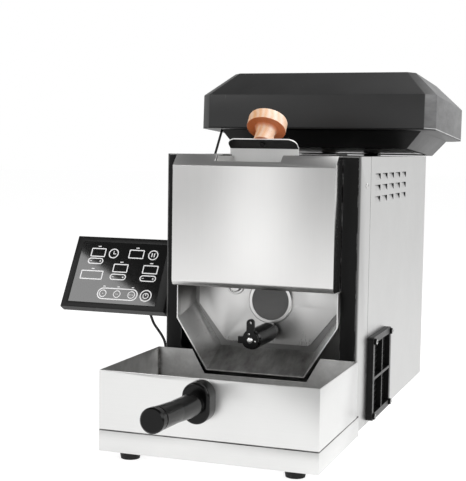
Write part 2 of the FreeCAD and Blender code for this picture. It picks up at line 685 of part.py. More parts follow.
def make_hopper():
    """Cheeks and sloping floor that lead the beans from the mouth back to the feed gate."""
    hopper = body("hopper")
    half = "mouth_half - air_gap"
    ahead, behind = "sheet_thick + air_gap - cover_out", "gate_front - sheet_thick - 2*air_gap"
    floor, top = "window_low + gate_thick", "casing_top - sheet_thick - air_gap"
    step = "(cover_bevel + sheet_thick)"
    pad(hopper, "yz", (f"mouth_mid - ({half})", f"mouth_mid + {half}"), outline(
        (ahead, f"{floor} + hopper_fall"), (ahead, f"casing_top - {step}"),
        (f"{ahead} + {step}", top), (behind, top), (behind, floor)))
    inside = outline((f"{ahead} - 1", f"{floor} + hopper_fall + sheet_thick*1.1 + 0.5"),
                     (f"{ahead} - 1", "casing_top + 1"),
                     (f"{behind} + 1", "casing_top + 1"),
                     (f"{behind} + 1", f"{floor} + sheet_thick*1.1 - 0.5"))
    pocket(hopper, "yz", (f"mouth_mid - ({half}) + sheet_thick", f"mouth_mid + {half} - sheet_thick"), inside)
    node("hopper", hopper)


def make_gate():
    """Feed gate: a plate in two rails, with a sloping lip that carries a wooden knob."""
    half, lap = "lip_wide/2", "lip_wide/2 - mouth_half + air_gap"
    rails = []
    for side in ("-", "+"):
        inner, outer = f"mouth_mid {side} ({half} + air_gap)", f"mouth_mid {side} ({half} + air_gap + 5)"
        lip = f"mouth_mid {side} ({half} - ({lap}))"
        front, back = "gate_front - air_gap - sheet_thick", "gate_front - air_gap"
        rails.append(outline((inner, "plate_at"), (outer, "plate_at"), (outer, front), (lip, front),
                             (lip, back), (inner, back)))
    rail = body("gate_rails")
    pad(rail, "xy", ("window_low - gate_over", "casing_top - sheet_thick - 2"), *rails)
    node("gate_rails", rail)
    gate = body("gate_plate")
    pad(gate, "xz", ("gate_front", "gate_back"),
        window(f"mouth_mid - {half}", f"mouth_mid + {half}", "window_low - gate_over", "gate_top"))
    run, rise = "lip_long*cos(lip_angle)", "lip_long*sin(lip_angle)"
    fold = "gate_thick*(1 - sin(lip_angle))/cos(lip_angle)"
    pad(gate, "yz", (f"mouth_mid - {half}", f"mouth_mid + {half}"), outline(
        ("gate_front", f"gate_top - {fold}"), ("gate_back", f"gate_top - {fold}"), ("gate_back", "gate_top"),
        (f"gate_back - {run}", f"gate_top + {rise}"),
        (f"gate_back - {run} - gate_thick*sin(lip_angle)", f"gate_top + {rise} - gate_thick*cos(lip_angle)")))
    round_edges(gate, "lip_wide/8", lambda spot, edge: spot.z > size_of(f"gate_top + {rise} - gate_thick")
                  and edge.Length < size_of("gate_thick*1.6"))
    node("feed_gate", cut("gate_drilled", gate, on_lip(drill("knob_hole", "screw_radius*0.6 + run_clear",
                                                             "-5", "5"))))


def on_lip(thing, up="0"):
    """Stand an object on the middle of the gate's lip, square to it."""
    turn(thing, (1, 0, 0), "-lip_angle")
    return place(thing, "mouth_mid", f"gate_back - (lip_long/2)*cos(lip_angle) + ({up})*sin(lip_angle)",
                 f"gate_top + (lip_long/2)*sin(lip_angle) + ({up})*cos(lip_angle)")


def drill(name, radius, low, high):
    """A bare cylinder along its own Z axis between two heights."""
    tool = doc.addObject("Part::Cylinder", name + "_round")
    bind(tool, Radius=radius, Height=f"{high} - ({low})", Placement__Base__z=low)
    return group(name, tool)


def make_knob():
    """The turned wooden knob and the screw that holds it from under the lip."""
    knob = body("wood_knob")
    cap_low, cap_high = "stem_long", "stem_long + knob_band"
    bore, depth = "screw_radius*0.6 + run_clear", "stem_long*0.8"
    lathe(knob, (bore, "0"), ("stem_radius*1.05", "0"), ("stem_radius*0.92", "stem_long*0.5"),
          ("stem_radius*1.05", "stem_long*0.85"), ("knob_radius*0.72", cap_low),
          ("knob_radius*0.93", f"{cap_low} + 1"),
          ("knob_radius", f"{cap_low} + 3"), ("knob_radius", f"{cap_high} - 2"),
          ("knob_radius*0.94", cap_high),
          ("knob_radius*0.5", f"{cap_high} + knob_dome*0.8"), ("0", f"{cap_high} + knob_dome"), ("0", depth),
          (bore, depth))
    node("wood_knob", on_lip(knob))
    screw = body("knob_screw")
    under = "-gate_thick"
    lathe(screw, ("0", f"{under} - screw_tall"), ("screw_radius*0.8", f"{under} - screw_tall"),
          ("screw_radius", f"{under} - screw_tall*0.5"),
          ("screw_radius", under), ("screw_radius*0.6", under), ("screw_radius*0.6", f"{depth} - 1"),
          ("0", f"{depth} - 1"))
    node("knob_screw", on_lip(screw))


# Drum, its chamber and its drive


def make_front_plate():
    """The wall in front of the drum, with the door's opening, its hinge ears and the feed window."""
    plate = body("drum_plate")
    skin = ("plate_at", "plate_back")
    pad(plate, "xz", skin, window("-inner_half", "inner_half", "foot_tall + sheet_thick",
                                  "casing_top - sheet_thick"))
    opening = mirrored(("door_foot - door_lap", "door_low + door_lap"),
                       ("door_half - door_lap", "door_knee + door_lap/2"),
                       ("door_half - door_lap", "door_top - door_lap"))
    feed = window("mouth_mid - window_wide/2", "mouth_mid + window_wide/2", "window_low",
                  "window_low + window_tall")
    pocket(plate, "xz", skin, opening, feed)
    foot, nose = "door_top + 2", "door_pin_at - door_pin_radius - plate_thick"
    ear = outline(("plate_at", foot), ("plate_at", "door_pin_up + 10"), (nose, "door_pin_up + 4"),
                  (nose, foot))
    spans = [sorted((f"{side}(door_foot*1.1 + 1)", f"{side}(door_foot*1.1 + 5)"),
                    key=size_of) for side in ("-", "")]
    for span in spans:
        pad(plate, "yz", span, ear)
    for span in spans:
        pocket(plate, "yz", span, ring("door_pin_at", "door_pin_up", "door_pin_radius + run_clear"))
    node("front_plate", plate)


def make_chamber():
    """The insulated tube round the drum, the bulkhead behind it, the heater rods and the smoke duct."""
    outer = "chamber_radius + chamber_wall"
    span, axis = ("plate_back", "bulk_at"), ("0", "drum_up")
    shell = cut("chamber_tube", rod("chamber_outer", outer, "y", span, axis),
                rod("chamber_inner", "chamber_radius", "y", span, axis))
    bore = rod("smoke_hole", "duct_radius - sheet_thick", "z", ("drum_up", "casing_top"), ("0", "duct_at"))
    collar = cut("duct_tube", rod("duct_outer", "duct_radius", "z", ("drum_up", "casing_top + 1"),
                                  ("0", "duct_at")),
                 rod("duct_inner", "duct_radius - sheet_thick", "z", ("drum_up - 1", "casing_top + 2"),
                     ("0", "duct_at")))
    duct = cut("duct_cut", collar, rod("duct_foot", "chamber_radius + chamber_wall/2", "y", span, axis))
    node("roast_chamber", join("chamber_and_duct", cut("chamber_cut", shell, bore), duct))
    bulk = body("bulkhead")
    pad(bulk, "xz", ("bulk_at", "bulk_back"), window("-inner_half", "inner_half", "foot_tall + sheet_thick",
                                                     "casing_top - sheet_thick"))
    pad(bulk, "xz", ("bulk_back", "bulk_at + bearing_long"), ring("0", "drum_up", "hub_radius"))
    spots = [(f"rod_ring*sin({tilt})", f"drum_up - rod_ring*cos({tilt})") for tilt in (-32, 0, 32)]
    pocket(bulk, "xz", ("bulk_at", "bulk_at + bearing_long"), ring("0", "drum_up", "bearing_radius"),
           *[ring(*spot, "rod_radius + run_clear") for spot in spots])
    node("bulkhead", bulk)
    rods = [rod(f"heater_{number}", "rod_radius", "y", ("drum_front + 4", "bulk_back + 14"), spot)
            for number, spot in enumerate(spots)]
    node("heater_rods", group("heaters", *rods))


def make_drum():
    """The drum: a cup open to the door, with straight vanes and a drilled back, on a stub shaft."""
    drum = body("drum")
    inner, hub = "drum_radius - drum_wall", "bearing_radius"
    shaft_end = "shaft_back - drum_front"
    lathe(drum, (inner, "0"), ("drum_radius", "0"), ("drum_radius", "drum_long"), (hub, "drum_long"),
          (hub, "drum_long + drum_wall"), ("shaft_radius", "drum_long + drum_wall"),
          ("shaft_radius", shaft_end),
          ("0", shaft_end), ("0", "drum_long - drum_wall"), (inner, "drum_long - drum_wall"))
    around(drum, "vane_count", pad(drum, "xy", ("4", "drum_long - drum_wall"),
                                   window(f"{inner} - vane_tall", f"{inner} + drum_wall/2", "-vane_thick/2",
                                          "vane_thick/2")))
    around(drum, "vane_count", pocket(drum, "xy", ("drum_long - 2*drum_wall", "drum_long + 1"),
                                      ring("drum_radius*0.55*cos(30)", "drum_radius*0.55*sin(30)",
                                           "vane_tall*0.7")))
    node("drum_shell", along_drum(drum, "drum_front"))


def along_drum(thing, start, x="0", z="drum_up"):
    """Lay an object made upright along the drum's axis, from a distance behind the casing's front."""
    return place(turn(thing, (1, 0, 0), "-90"), x, start, z)


def make_gear(name, teeth, bore, wide):
    """A spur gear about the body's Z axis: a blank and straight-flanked teeth round it."""
    gear = body(name)
    pitch, root = f"gear_module*{teeth}/2", f"gear_module*({teeth}/2 - 1.2)"
    pad(gear, "xy", ("0", wide), ring("0", "0", root), *([ring("0", "0", bore)] if bore else []))
    foot, middle, tip = "gear_module*0.95", "gear_module*0.7", "gear_module*0.32"
    around(gear, teeth, pad(gear, "xy", ("0", wide), outline(
        (f"{root} - 0.4", f"-{foot}"), (pitch, f"-{middle}"), (f"{pitch} + gear_module", f"-{tip}"),
        (f"{pitch} + gear_module", tip), (pitch, middle), (f"{root} - 0.4", foot))))
    return gear


def make_drive():
    """Bearings, gears, the plate behind them with its stand-offs, and the drum's gear motor."""
    bore = "shaft_radius + run_clear"
    bearings = []
    for number, start in enumerate(("bulk_at", "gear_plate_at")):
        race = cut(f"bearing_{number}", rod(f"race_{number}", "bearing_radius - run_clear", "y",
                                            (start, f"{start} + bearing_long"), ("0", "drum_up")),
                   rod(f"race_bore_{number}", bore, "y", (f"{start} - 1", f"{start} + bearing_long + 1"),
                       ("0", "drum_up")))
        bearings.append(race)
    node("drum_bearings", group("bearings", *bearings))
    big = make_gear("drum_gear", "gear_teeth", bore, "gear_wide")
    node("drum_gear", along_drum(big, "gear_at"))
    small = make_gear("motor_pinion", "pinion_teeth", None, "gear_wide")
    pad(small, "xy", ("gear_wide", "gear_plate_after - gear_after + plate_thick + 12"),
        ring("0", "0", "shaft_radius*0.6"))
    along_drum(small, "gear_at", "pinion_x", "pinion_z")
    spin_to_mesh(small)
    node("motor_pinion", small)
    plate = body("gear_plate")
    corner_x, low, high = "hub_radius*3", "pinion_z - motor_radius - 4", "drum_up + hub_radius*1.6"
    pad(plate, "xz", ("gear_plate_at", "gear_plate_at + plate_thick"),
        window(f"-{corner_x}", corner_x, low, high))
    pad(plate, "xz", ("gear_plate_at + plate_thick", "gear_plate_at + bearing_long"),
        ring("0", "drum_up", "hub_radius"))
    pocket(plate, "xz", ("gear_plate_at", "gear_plate_at + bearing_long"),
           ring("0", "drum_up", "bearing_radius"),
           ring("pinion_x", "pinion_z", "shaft_radius"))
    spots = [(f"{side}({corner_x} - 5)", up) for side in ("-", "") for up in (f"{low} + 5", f"{high} - 5")]
    pad(plate, "xz", ("bulk_back", "gear_plate_at"), *[ring(*spot, "screw_radius*1.3") for spot in spots])
    node("gear_plate", plate)
    motor = body("drum_motor")
    lathe(motor, ("shaft_radius*0.6 + run_clear", "0"), ("motor_radius", "0"),
          ("motor_radius", "motor_long*0.5"), ("motor_radius*0.9", "motor_long*0.5"),
          ("motor_radius*0.9", "motor_long - 2"), ("motor_radius*0.8", "motor_long"), ("0", "motor_long"),
          ("0", "motor_long*0.4"), ("shaft_radius*0.6 + run_clear", "motor_long*0.4"))
    node("drum_motor", along_drum(motor, "gear_plate_at + plate_thick", "pinion_x", "pinion_z"))


def spin_to_mesh(gear):
    """Turn the pinion so that a gap between its teeth faces the drum gear's nearest tooth."""
    toward = math.degrees(math.atan2(size_of("pinion_z - drum_up"), size_of("pinion_x")))
    step, own = 360/size_of("gear_teeth"), 360/size_of("pinion_teeth")
    ahead = round(toward/step)*step - toward
    gap = toward + 180 - ahead*own/step
    # Laid along the drum, a gear's own angle is measured the other way round.
    spin = FreeCAD.Rotation(Vector(1, 0, 0), -90).multiply(FreeCAD.Rotation(Vector(0, 0, 1), -gap - own/2))
    gear.Placement = FreeCAD.Placement(gear.Placement.Base, spin)


# Discharge door, chute and cooling tray


def make_door():
    """The discharge door: a tapered plate that hangs on a pin and carries the glass and the port."""
    door = body("door_plate")
    skin = ("door_front", "door_back")
    pad(door, "xz", skin, mirrored(("door_foot", "door_low"), ("door_half", "door_knee"),
                                   ("door_half", "door_top")))
    knuckle, spans = "door_pin_radius + plate_thick", []
    for side in ("-", ""):
        spans.append(sorted((f"{side}door_foot*1.1", f"{side}door_foot*0.6"), key=size_of))
        pad(door, "xz", skin, window(*spans[-1], "door_top - 1", "door_pin_up"))
    for span in spans:
        pad(door, "yz", span, ring("door_pin_at", "door_pin_up", knuckle))
    round_edges(door, "door_lap*1.4", lambda spot, edge: abs(spot.z - size_of("door_low")) < 0.1
                and abs(abs(spot.x) - size_of("door_foot")) < 0.1)
    for span in spans:
        pocket(door, "yz", span, ring("door_pin_at", "door_pin_up", "door_pin_radius + run_clear"))
    pocket(door, "xz", skin, ring("glass_aside", "glass_up", "glass_radius - 1.5"),
           ring("-port_aside", "port_up", "port_radius*0.5 + run_clear"),
           ring("grip_aside", "grip_up", "latch_rod_radius + run_clear"))
    node("door_plate", door)
    ring_front, face = "glass_radius - 1", "3"
    bezel = body("sight_ring")
    lathe(bezel, (ring_front, face), ("glass_radius + glass_ring - 1", face),
          ("glass_radius + glass_ring", "2"),
          ("glass_radius + glass_ring", "0"), ("glass_radius + run_clear", "0"),
          ("glass_radius + run_clear", "2"), (ring_front, "2"))
    node("sight_ring", out_of_door(bezel, "glass_aside", "glass_up"))
    node("sight_glass", rod("glass", "glass_radius", "y", ("door_front - 2", "door_front"),
                            ("glass_aside", "glass_up")))
    port = body("sampling_port")
    neck = "port_radius*0.5"
    lathe(port, ("0", "-plate_thick"), (neck, "-plate_thick"), (neck, "0"), ("port_radius", "0"),
          ("port_radius", "1.5"),
          ("port_radius*0.95", "2"), ("port_radius*0.85", "2"), ("port_radius*0.83", "0.8"),
          ("port_radius*0.73", "0.8"),
          ("port_radius*0.7", "3.2"), ("port_radius*0.6", "4"), ("0", "4"))
    node("sampling_port", out_of_door(port, "-port_aside", "port_up"))


def make_door_pin():
    """The pin that the door hangs on, between the front plate's ears."""
    span = ("-door_foot*1.1 - 7", "door_foot*1.1 + 7")
    node("door_pin", rod("pin", "door_pin_radius", "x", span, ("door_pin_at", "door_pin_up")))


def out_of_door(thing, x, z):
    """Stand an object made upright on the door's face, pointing to the front."""
    return place(turn(thing, (1, 0, 0), "90"), x, "door_front", z)


def make_latch():
    """The black grip on the door and the lever, rod and tongue that turn in it."""
    grip = body("door_grip")
    bore = "latch_rod_radius + run_clear"
    neck = "grip_radius*0.57"
    lathe(grip, (bore, "0"), (neck, "0"), (neck, "4"), ("grip_radius*0.85", "6"), ("grip_radius*0.92", "12"),
          ("grip_radius", "18"), ("grip_radius", "grip_long - 2"), ("grip_radius - 1.5", "grip_long"),
          (bore, "grip_long"))
    node("door_grip", out_of_door(grip, "grip_aside", "grip_up"))
    lever = body("latch_lever")
    start, reach, half = "grip_long + air_gap", "latch_long - latch_wide/2", "latch_wide/2"
    pad(lever, "xy", (start, f"{start} + latch_thick"), ring("0", "0", "grip_radius*0.85"))
    pad(lever, "xy", (start, f"{start} + latch_thick"), window(f"-{half}", half, "0", reach))
    pad(lever, "xy", (start, f"{start} + latch_thick"), ring("0", reach, half))
    pad(lever, "xy", (start, f"{start} + latch_thick"), window(f"-grip_radius*1.25", "0", f"-{half}*0.9",
                                                               f"{half}*0.9"))
    pocket(lever, "xy", (start, f"{start} + latch_thick"), ring("0", reach, "latch_wide*0.2"),
           ring("0", "0", "latch_rod_radius*0.9"))
    node("latch_lever", out_of_door(lever, "grip_aside", "grip_up"))
    pin = body("latch_rod")
    tail = "door_back - door_front + plate_thick + 2*air_gap"
    lathe(pin, ("0", f"-({tail}) - 3"), ("latch_rod_radius", f"-({tail}) - 3"), ("latch_rod_radius", start),
          ("latch_rod_radius*0.86", start), ("latch_rod_radius*0.86", f"{start} + latch_thick"),
          ("0", f"{start} + latch_thick"))
    pad(pin, "xy", (f"-({tail}) - 3", f"-({tail})"), window("0", "grip_up - door_low - 0.5",
                                                            "-latch_rod_radius", "latch_rod_radius"))
    node("latch_rod", out_of_door(pin, "grip_aside", "grip_up"))
    heads = []
    for x, z, radius in (("0", "0", "1.3*latch_rod_radius"), ("grip_radius*0.55", "-grip_radius*0.1", "1.2"),
                         ("-grip_radius*0.1", "grip_radius*0.6", "1.2")):
        face = f"door_front - ({start}) - latch_thick"
        heads.append(rod(f"latch_screw_{len(heads)}", radius, "y", (f"{face} - 1.2", face),
                         (f"grip_aside + {x}", f"grip_up + ({z})")))
    node("latch_screws", group("latch_screw_group", *heads))


def chute_section(at, half, knee, floor, grow):
    """One end of the chute: its outline, or the same grown inwards and open above."""
    wall = f"({grow})"
    top = f"chute_top + {wall}"
    return (at, mirrored((f"chute_foot - {wall}*0.6", f"{floor} + {wall}"), (f"{half} - {wall}", knee),
                         (f"{half} - {wall}", top)))


def make_chute():
    """The bean chute, an open trough of bent sheet that narrows and falls to the tray."""
    chute = body("bean_chute")
    front = ("-chute_out", "chute_half", "chute_knee", "chute_lip")
    back = ("plate_at", "chute_half_back", "chute_knee_back", "chute_lip + chute_fall")
    loft(chute, "xz", chute_section(*back, "0"), chute_section(*front, "0"))
    steep = "chute_fall/(plate_at + chute_out)"
    past_front = ("-chute_out - 1", "chute_half", "chute_knee", f"chute_lip - {steep}")
    past_back = ("plate_at + 1", "chute_half_back", "chute_knee_back", f"chute_lip + chute_fall + {steep}")
    loft(chute, "xz", chute_section(*past_back, "sheet_thick"), chute_section(*past_front, "sheet_thick"),
         "PartDesign::SubtractiveLoft")
    node("bean_chute", chute)


def make_tray():
    """The pull-out cooling tray, with a notch for the chute, and its slotted screen."""
    tray = body("cooling_tray")
    half, back = "tray_wide/2", "-tray_back"
    pad(tray, "xy", ("tray_low", "tray_rim"), window(f"-{half}", half, "-tray_front", back))
    room = window(f"tray_wall - {half}", f"{half} - tray_wall", "tray_wall - tray_front",
                  f"{back} - tray_wall")
    pocket(tray, "xy", ("tray_low + tray_wall", "tray_rim"), room)
    vent = window(f"tray_ledge - {half}", f"{half} - tray_ledge", "tray_ledge - tray_front",
                  f"{back} - tray_ledge")
    pocket(tray, "xy", ("tray_low", "tray_low + tray_wall"), vent)
    slope = "(chute_half - chute_foot)/(chute_knee - chute_lip)"
    low = "chute_lip - chute_clear*1.6"
    notch = mirrored((f"chute_foot + chute_clear", low),
                     (f"chute_foot + 1.2*chute_clear + {slope}*(tray_rim - chute_lip)", "tray_rim"),
                     (f"chute_foot + 1.2*chute_clear + {slope}*(tray_rim - chute_lip)", "tray_rim + 1"))
    pocket(tray, "xz", (f"{back} - tray_wall", back), notch)
    pocket(tray, "xz", ("-tray_front", "tray_wall - tray_front"), *handle_holes("screw_radius*0.7"))
    node("cooling_tray", tray)
    screen = body("tray_screen")
    low, edge = "tray_low + tray_wall", "tray_wall + 0.2"
    pad(screen, "xy", (low, f"{low} + screen_thick"), window(f"{edge} - {half}", f"{half} - ({edge})",
                                                             f"{edge} - tray_front", f"{back} - ({edge})"))
    depth = "(tray_front - tray_back - 4*tray_ledge)"
    columns = int(size_of("(tray_wide - 4*tray_ledge)/slot_pitch"))
    near = f"-{columns}/2*slot_pitch - slot_wide/2"
    slots = [window(near, f"{near} + slot_wide", f"2*tray_ledge - tray_front + {row}*{depth}/slot_rows",
                    f"2*tray_ledge - tray_front + ({row} + 1)*{depth}/slot_rows - slot_wide*1.5")
             for row in range(int(size_of("slot_rows")))]
    along(screen, "X_Axis", f"{columns}*slot_pitch", str(columns + 1),
          pocket(screen, "xy", (low, f"{low} + screen_thick"), *slots))
    node("tray_screen", screen)


def make_handle():
    """The tray's handle: an obround foot against the tray and a tilted barrel with an end cap."""
    foot = body("foot_block")
    span, half, reach = ("-tray_front - pad_thick", "-tray_front"), "pad_wide/2", "(pad_tall - pad_wide)/2"
    pad(foot, "xz", span, window(f"-handle_left - {half}", f"-handle_left + {half}",
                                 f"handle_up - {reach}", f"handle_up + {reach}"))
    for side in "-+":
        pad(foot, "xz", span, ring("-handle_left", f"handle_up {side} {reach}", half))
    round_edges(foot, "pad_thick/6", lambda spot, edge: abs(spot.y + size_of("tray_front + pad_thick")) < 0.1)
    pocket(foot, "xz", ("-tray_front - pad_thick*0.6", "-tray_front"),
           *handle_holes("screw_radius*0.6 + run_clear"))
    stud, deep = "stem_radius*0.4", "pad_thick*0.6"
    node("handle_foot", cut("foot_drilled", foot, on_foot(drill("stud_hole", f"{stud} + run_clear",
                                                                f"-{deep} - 1", "1"))))
    barrel = body("tray_handle")
    neck, cap, start = "handle_radius*0.95", "handle_radius*1.04", "handle_radius*sin(handle_rise) + 0.1"
    lathe(barrel, ("0", f"-{deep}"), (stud, f"-{deep}"), (stud, start), (neck, start),
          (neck, "handle_long*0.06"),
          ("handle_radius*1.02", "handle_long*0.12"), ("handle_radius*0.93", "handle_long*0.5"),
          ("handle_radius", "handle_long*0.88"), ("handle_radius*0.9", "handle_long*0.89"),
          ("handle_radius*0.9", "handle_long*0.905"), (cap, "handle_long*0.915"), (cap, "handle_long - 1.5"),
          ("handle_radius*0.92", "handle_long"), ("0", "handle_long"))
    node("tray_handle", on_foot(barrel))
    screws = []
    for number, side in enumerate("-+"):
        screw = body(f"handle_screw_{number}")
        lathe(screw, ("0", "screw_tall"), ("screw_radius*0.8", "screw_tall"),
              ("screw_radius", "screw_tall*0.4"),
              ("screw_radius", "0"), ("screw_radius*0.6", "0"), ("screw_radius*0.6", "-tray_wall - 9"),
              ("0", "-tray_wall - 9"))
        turn(screw, (1, 0, 0), "-90")
        screws.append(place(screw, "-handle_left", "tray_wall - tray_front", f"handle_up {side} pad_tall/3"))
    node("handle_screws", group("handle_screw_group", *screws))


def handle_holes(radius):
    """The two screw holes behind the handle's foot."""
    return [ring("-handle_left", f"handle_up {side} pad_tall/3", radius) for side in "-+"]


def on_foot(thing):
    """Stand an object on the handle's foot, pointing to the front and tilted up."""
    return place(turn(thing, (1, 0, 0), "90 - handle_rise"), "-handle_left", "-tray_front - pad_thick",
                 "handle_up")


# Smoke and chaff hood, its hinge and stay


def on_hood(thing):
    """Hang an object made about the hinge pin on the hood, propped as the stay holds it."""
    return place(turn(thing, (1, 0, 0), "-hood_prop"), "0", "hinge_at", "hinge_z")


def eight(inset):
    """The hood's plan, a rectangle with cut corners, drawn from the hinge pin and inset."""
    side, near, far = (f"({edge} ({inset}))" for edge in ("hood_half -", "hood_front - hinge_at +",
                                                          "hood_back - hinge_at -"))
    nip = f"(hood_corner - ({inset})*0.1)"
    right = [(f"{side} - {nip}", near), (side, f"{near} + {nip}"), (side, f"{far} - {nip}"),
             (f"{side} - {nip}", far)]
    return mirrored(*right)


def make_hood():
    """The hood: upright walls and a bevel all round its top, made as one hollow moulding."""
    hood = body("hood_shell")
    rim, eaves = "rim_z - hinge_z + sheet_thick", "rim_z + hood_wall - hinge_z"
    ridge = "rim_z + hood_wall + hood_rise - hinge_z"
    pad(hood, "xy", (rim, eaves), eight("0"))
    loft(hood, "xy", (eaves, eight("0")), (ridge, eight("hood_bevel")))
    pocket(hood, "xy", (rim, f"{eaves} - 1"), eight("hood_skin"))
    loft(hood, "xy", (f"{eaves} - 1", eight("hood_skin")), (f"{ridge} - hood_skin",
                                                            eight("hood_bevel + hood_skin/2")),
         "PartDesign::SubtractiveLoft")
    node("hood_shell", on_hood(hood))


def skirt_section(at, half, near, far, wall):
    """One end of the tapered skirt, inset by its wall."""
    low, high = f"({near} - hinge_at + {wall})", f"({far} - hinge_at - ({wall}))"
    return (at, window(f"{wall} - {half}", f"{half} - ({wall})", low, high))


def make_skirt():
    """The skirt under the hood: a rim plate, tapered walls and a ledge that carries the chaff filter."""
    skirt = body("hood_skirt")
    rim, foot, wall = "rim_z - hinge_z", "casing_top + skirt_lift - hinge_z", "hood_skin*0.8"
    top = ("skirt_half", "skirt_front", "skirt_back")
    low = ("skirt_half_low", "skirt_front_low", "skirt_back_low")
    pad(skirt, "xy", (rim, f"{rim} + sheet_thick"), eight("0"))
    loft(skirt, "xy", skirt_section(foot, *low, "0"), skirt_section(rim, *top, "0"))
    loft(skirt, "xy", skirt_section(f"{foot} + plate_thick", *low, wall), skirt_section(rim, *top, wall),
         "PartDesign::SubtractiveLoft")
    pocket(skirt, "xy", (rim, f"{rim} + sheet_thick"), skirt_section(rim, *top, wall)[1])
    pocket(skirt, "xy", (foot, f"{foot} + plate_thick"), skirt_section(foot, *low, "filter_ledge")[1])
    add_leaves(skirt, foot)
    node("hood_skirt", on_hood(skirt))
    screen = body("chaff_filter")
    sole = f"{foot} + plate_thick"
    pad(screen, "xy", (sole, f"{sole} + filter_thick"), skirt_section(sole, *low, "filter_ledge - 2")[1])
    span = "skirt_back_low - skirt_front_low - 4*filter_ledge - slot_wide"
    slots = [window(f"-skirt_half_low + 3*filter_ledge + {number}*(2*skirt_half_low - 5*filter_ledge)/3",
                    f"-skirt_half_low + 2*filter_ledge + ({number} + 1)*(2*skirt_half_low - 5*filter_ledge)/3",
                    "skirt_front_low - hinge_at + 2*filter_ledge",
                    "skirt_front_low - hinge_at + 2*filter_ledge + slot_wide")
             for number in range(3)]
    along(screen, "Y_Axis", span, "filter_rows", pocket(screen, "xy", (sole, f"{sole} + filter_thick"),
                                                        *slots))
    node("chaff_filter", on_hood(screen))


def add_leaves(skirt, foot):
    """The hinge leaves under the skirt's back ledge, with their knuckles on the pin."""
    spans = [sorted((f"{side}(hinge_span/3 + air_gap)", f"{side}(hinge_span*2/3 - air_gap)"), key=size_of)
             for side in ("-", "")]
    for span in spans:
        pad(skirt, "yz", span, window("0", "skirt_back_low - hinge_at", "hinge_radius + hinge_leaf/2",
                                      f"{foot} + plate_thick/2"))
        pad(skirt, "yz", span, ring("0", "0", "hinge_radius + hinge_leaf"))
    for span in spans:
        pocket(skirt, "yz", span, ring("0", "0", "hinge_radius + run_clear"))


def make_hinge():
    """The hinge's fixed knuckles on the rear panel and the pin."""
    bracket = body("hinge_bracket")
    knuckle, back, spans = "hinge_radius + hinge_leaf", ("casing_deep", "casing_deep + hinge_leaf"), []
    for side in ("-", ""):
        spans.append(sorted((f"{side}hinge_span*2/3", f"{side}hinge_span"), key=size_of))
        pad(bracket, "yz", spans[-1], window(*back, "hinge_z - 4*hinge_radius - 4", "hinge_z"))
        pad(bracket, "yz", spans[-1], window("casing_deep", "hinge_at", "hinge_z - hinge_radius - hinge_leaf",
                                             "hinge_z - hinge_radius"))
        pad(bracket, "yz", spans[-1], ring("hinge_at", "hinge_z", knuckle))
    for span in spans:
        pocket(bracket, "yz", span, ring("hinge_at", "hinge_z", "hinge_radius + run_clear"))
    node("hinge_bracket", bracket)
    node("hinge_pin", rod("hood_pin", "hinge_radius", "x", ("-hinge_span - 2", "hinge_span + 2"),
                          ("hinge_at", "hinge_z")))


def make_stay():
    """The stay that props the hood, a rod with an eye on a shoulder screw, and a foot under the rim."""
    stay = body("hood_stay")
    pad(stay, "yz", ("-stay_radius*1.1", "stay_radius*1.1"), ring("0", "0", "stay_radius*3"))
    lathe(stay, ("0", "stay_radius*2.4"), ("stay_radius", "stay_radius*2.4"),
          ("stay_radius", "stay_long - stay_radius*0.8"), ("0", "stay_long"))
    pocket(stay, "yz", ("-stay_radius*1.1", "stay_radius*1.1"), ring("0", "0", "stay_radius*4/3 + run_clear"))
    turn(stay, (1, 0, 0), "-atan2(stay_run; stay_up)")
    node("hood_stay", place(stay, "-stay_aside", "stay_foot", "stay_foot_up"))
    screw = body("stay_pivot")
    start, head = "casing_half - stay_aside", "(stay_radius*1.1 + air_gap)"
    pad(screw, "yz", (f"-{head} - 2", f"-{head}"), ring("0", "0", "stay_radius*2.4"))
    pad(screw, "yz", (f"-{head}", head), ring("0", "0", "stay_radius*4/3"))
    pad(screw, "yz", (head, f"-({start})"), ring("0", "0", "stay_radius*2.2"))
    node("stay_pivot", place(screw, "-stay_aside", "stay_foot", "stay_foot_up"))


# Touch panel


def on_panel(thing):
    """Lean an object made on the panel's lower front edge back with the panel."""
    return place(turn(thing, (1, 0, 0), "-panel_lean"), "0", "-panel_fore", "panel_low")


def make_panel():
    """The touch panel's housing, with the arm that holds it to the casing, and its glass."""
    housing = body("panel_housing")
    sides = ("panel_left", "panel_right")
    pad(housing, "yz", sides, outline(("0", "0"), ("0", "panel_tall"), ("panel_thick", "panel_tall"),
                                      ("panel_thick", "panel_bevel"), ("panel_thick - panel_bevel", "0")))
    round_edges(housing, "panel_round", lambda spot, edge: abs(edge.Length - size_of("panel_tall")) < 0.1
                or abs(spot.y - size_of("panel_thick")) < 0.1 and edge.Length > size_of("panel_thick*2"))
    near, far = "panel_left + screen_side", "panel_right - screen_right"
    pocket(housing, "xz", ("0", "screen_deep"), window(near, far, "screen_end", "panel_tall - screen_end"))
    pad(housing, "yz", ("panel_right", "-casing_half"), window("panel_thick/4", "panel_thick*3/4",
                                                               "panel_tall*0.22", "panel_tall*0.78"))
    node("panel_housing", on_panel(housing))
    glass = body("panel_glass")
    slack = "air_gap/2"
    pad(glass, "xz", ("0", "screen_deep"), window(f"{near} + {slack}", f"{far} - {slack}",
                                                  f"screen_end + {slack}",
                                                  f"panel_tall - screen_end - {slack}"))
    node("panel_glass", on_panel(glass))


# The cable's corners, from the panel's underside to the grommet in the casing.
CABLE_ROUTE = [(-140, 22.76, 123.32), (-140, 28.7, 119.75), (-139.6, 32.9, 113.5), (-137.5, 34.5, 106.2),
               (-132.8, 35.6, 99.6), (-128, 36.5, 93), (-124.8, 37.2, 86.6), (-123.5, 37.6, 80),
               (-123.2, 38, 73.5), (-120.1, 38, 68.1), (-114.7, 38, 65), (-108.5, 38, 65)]


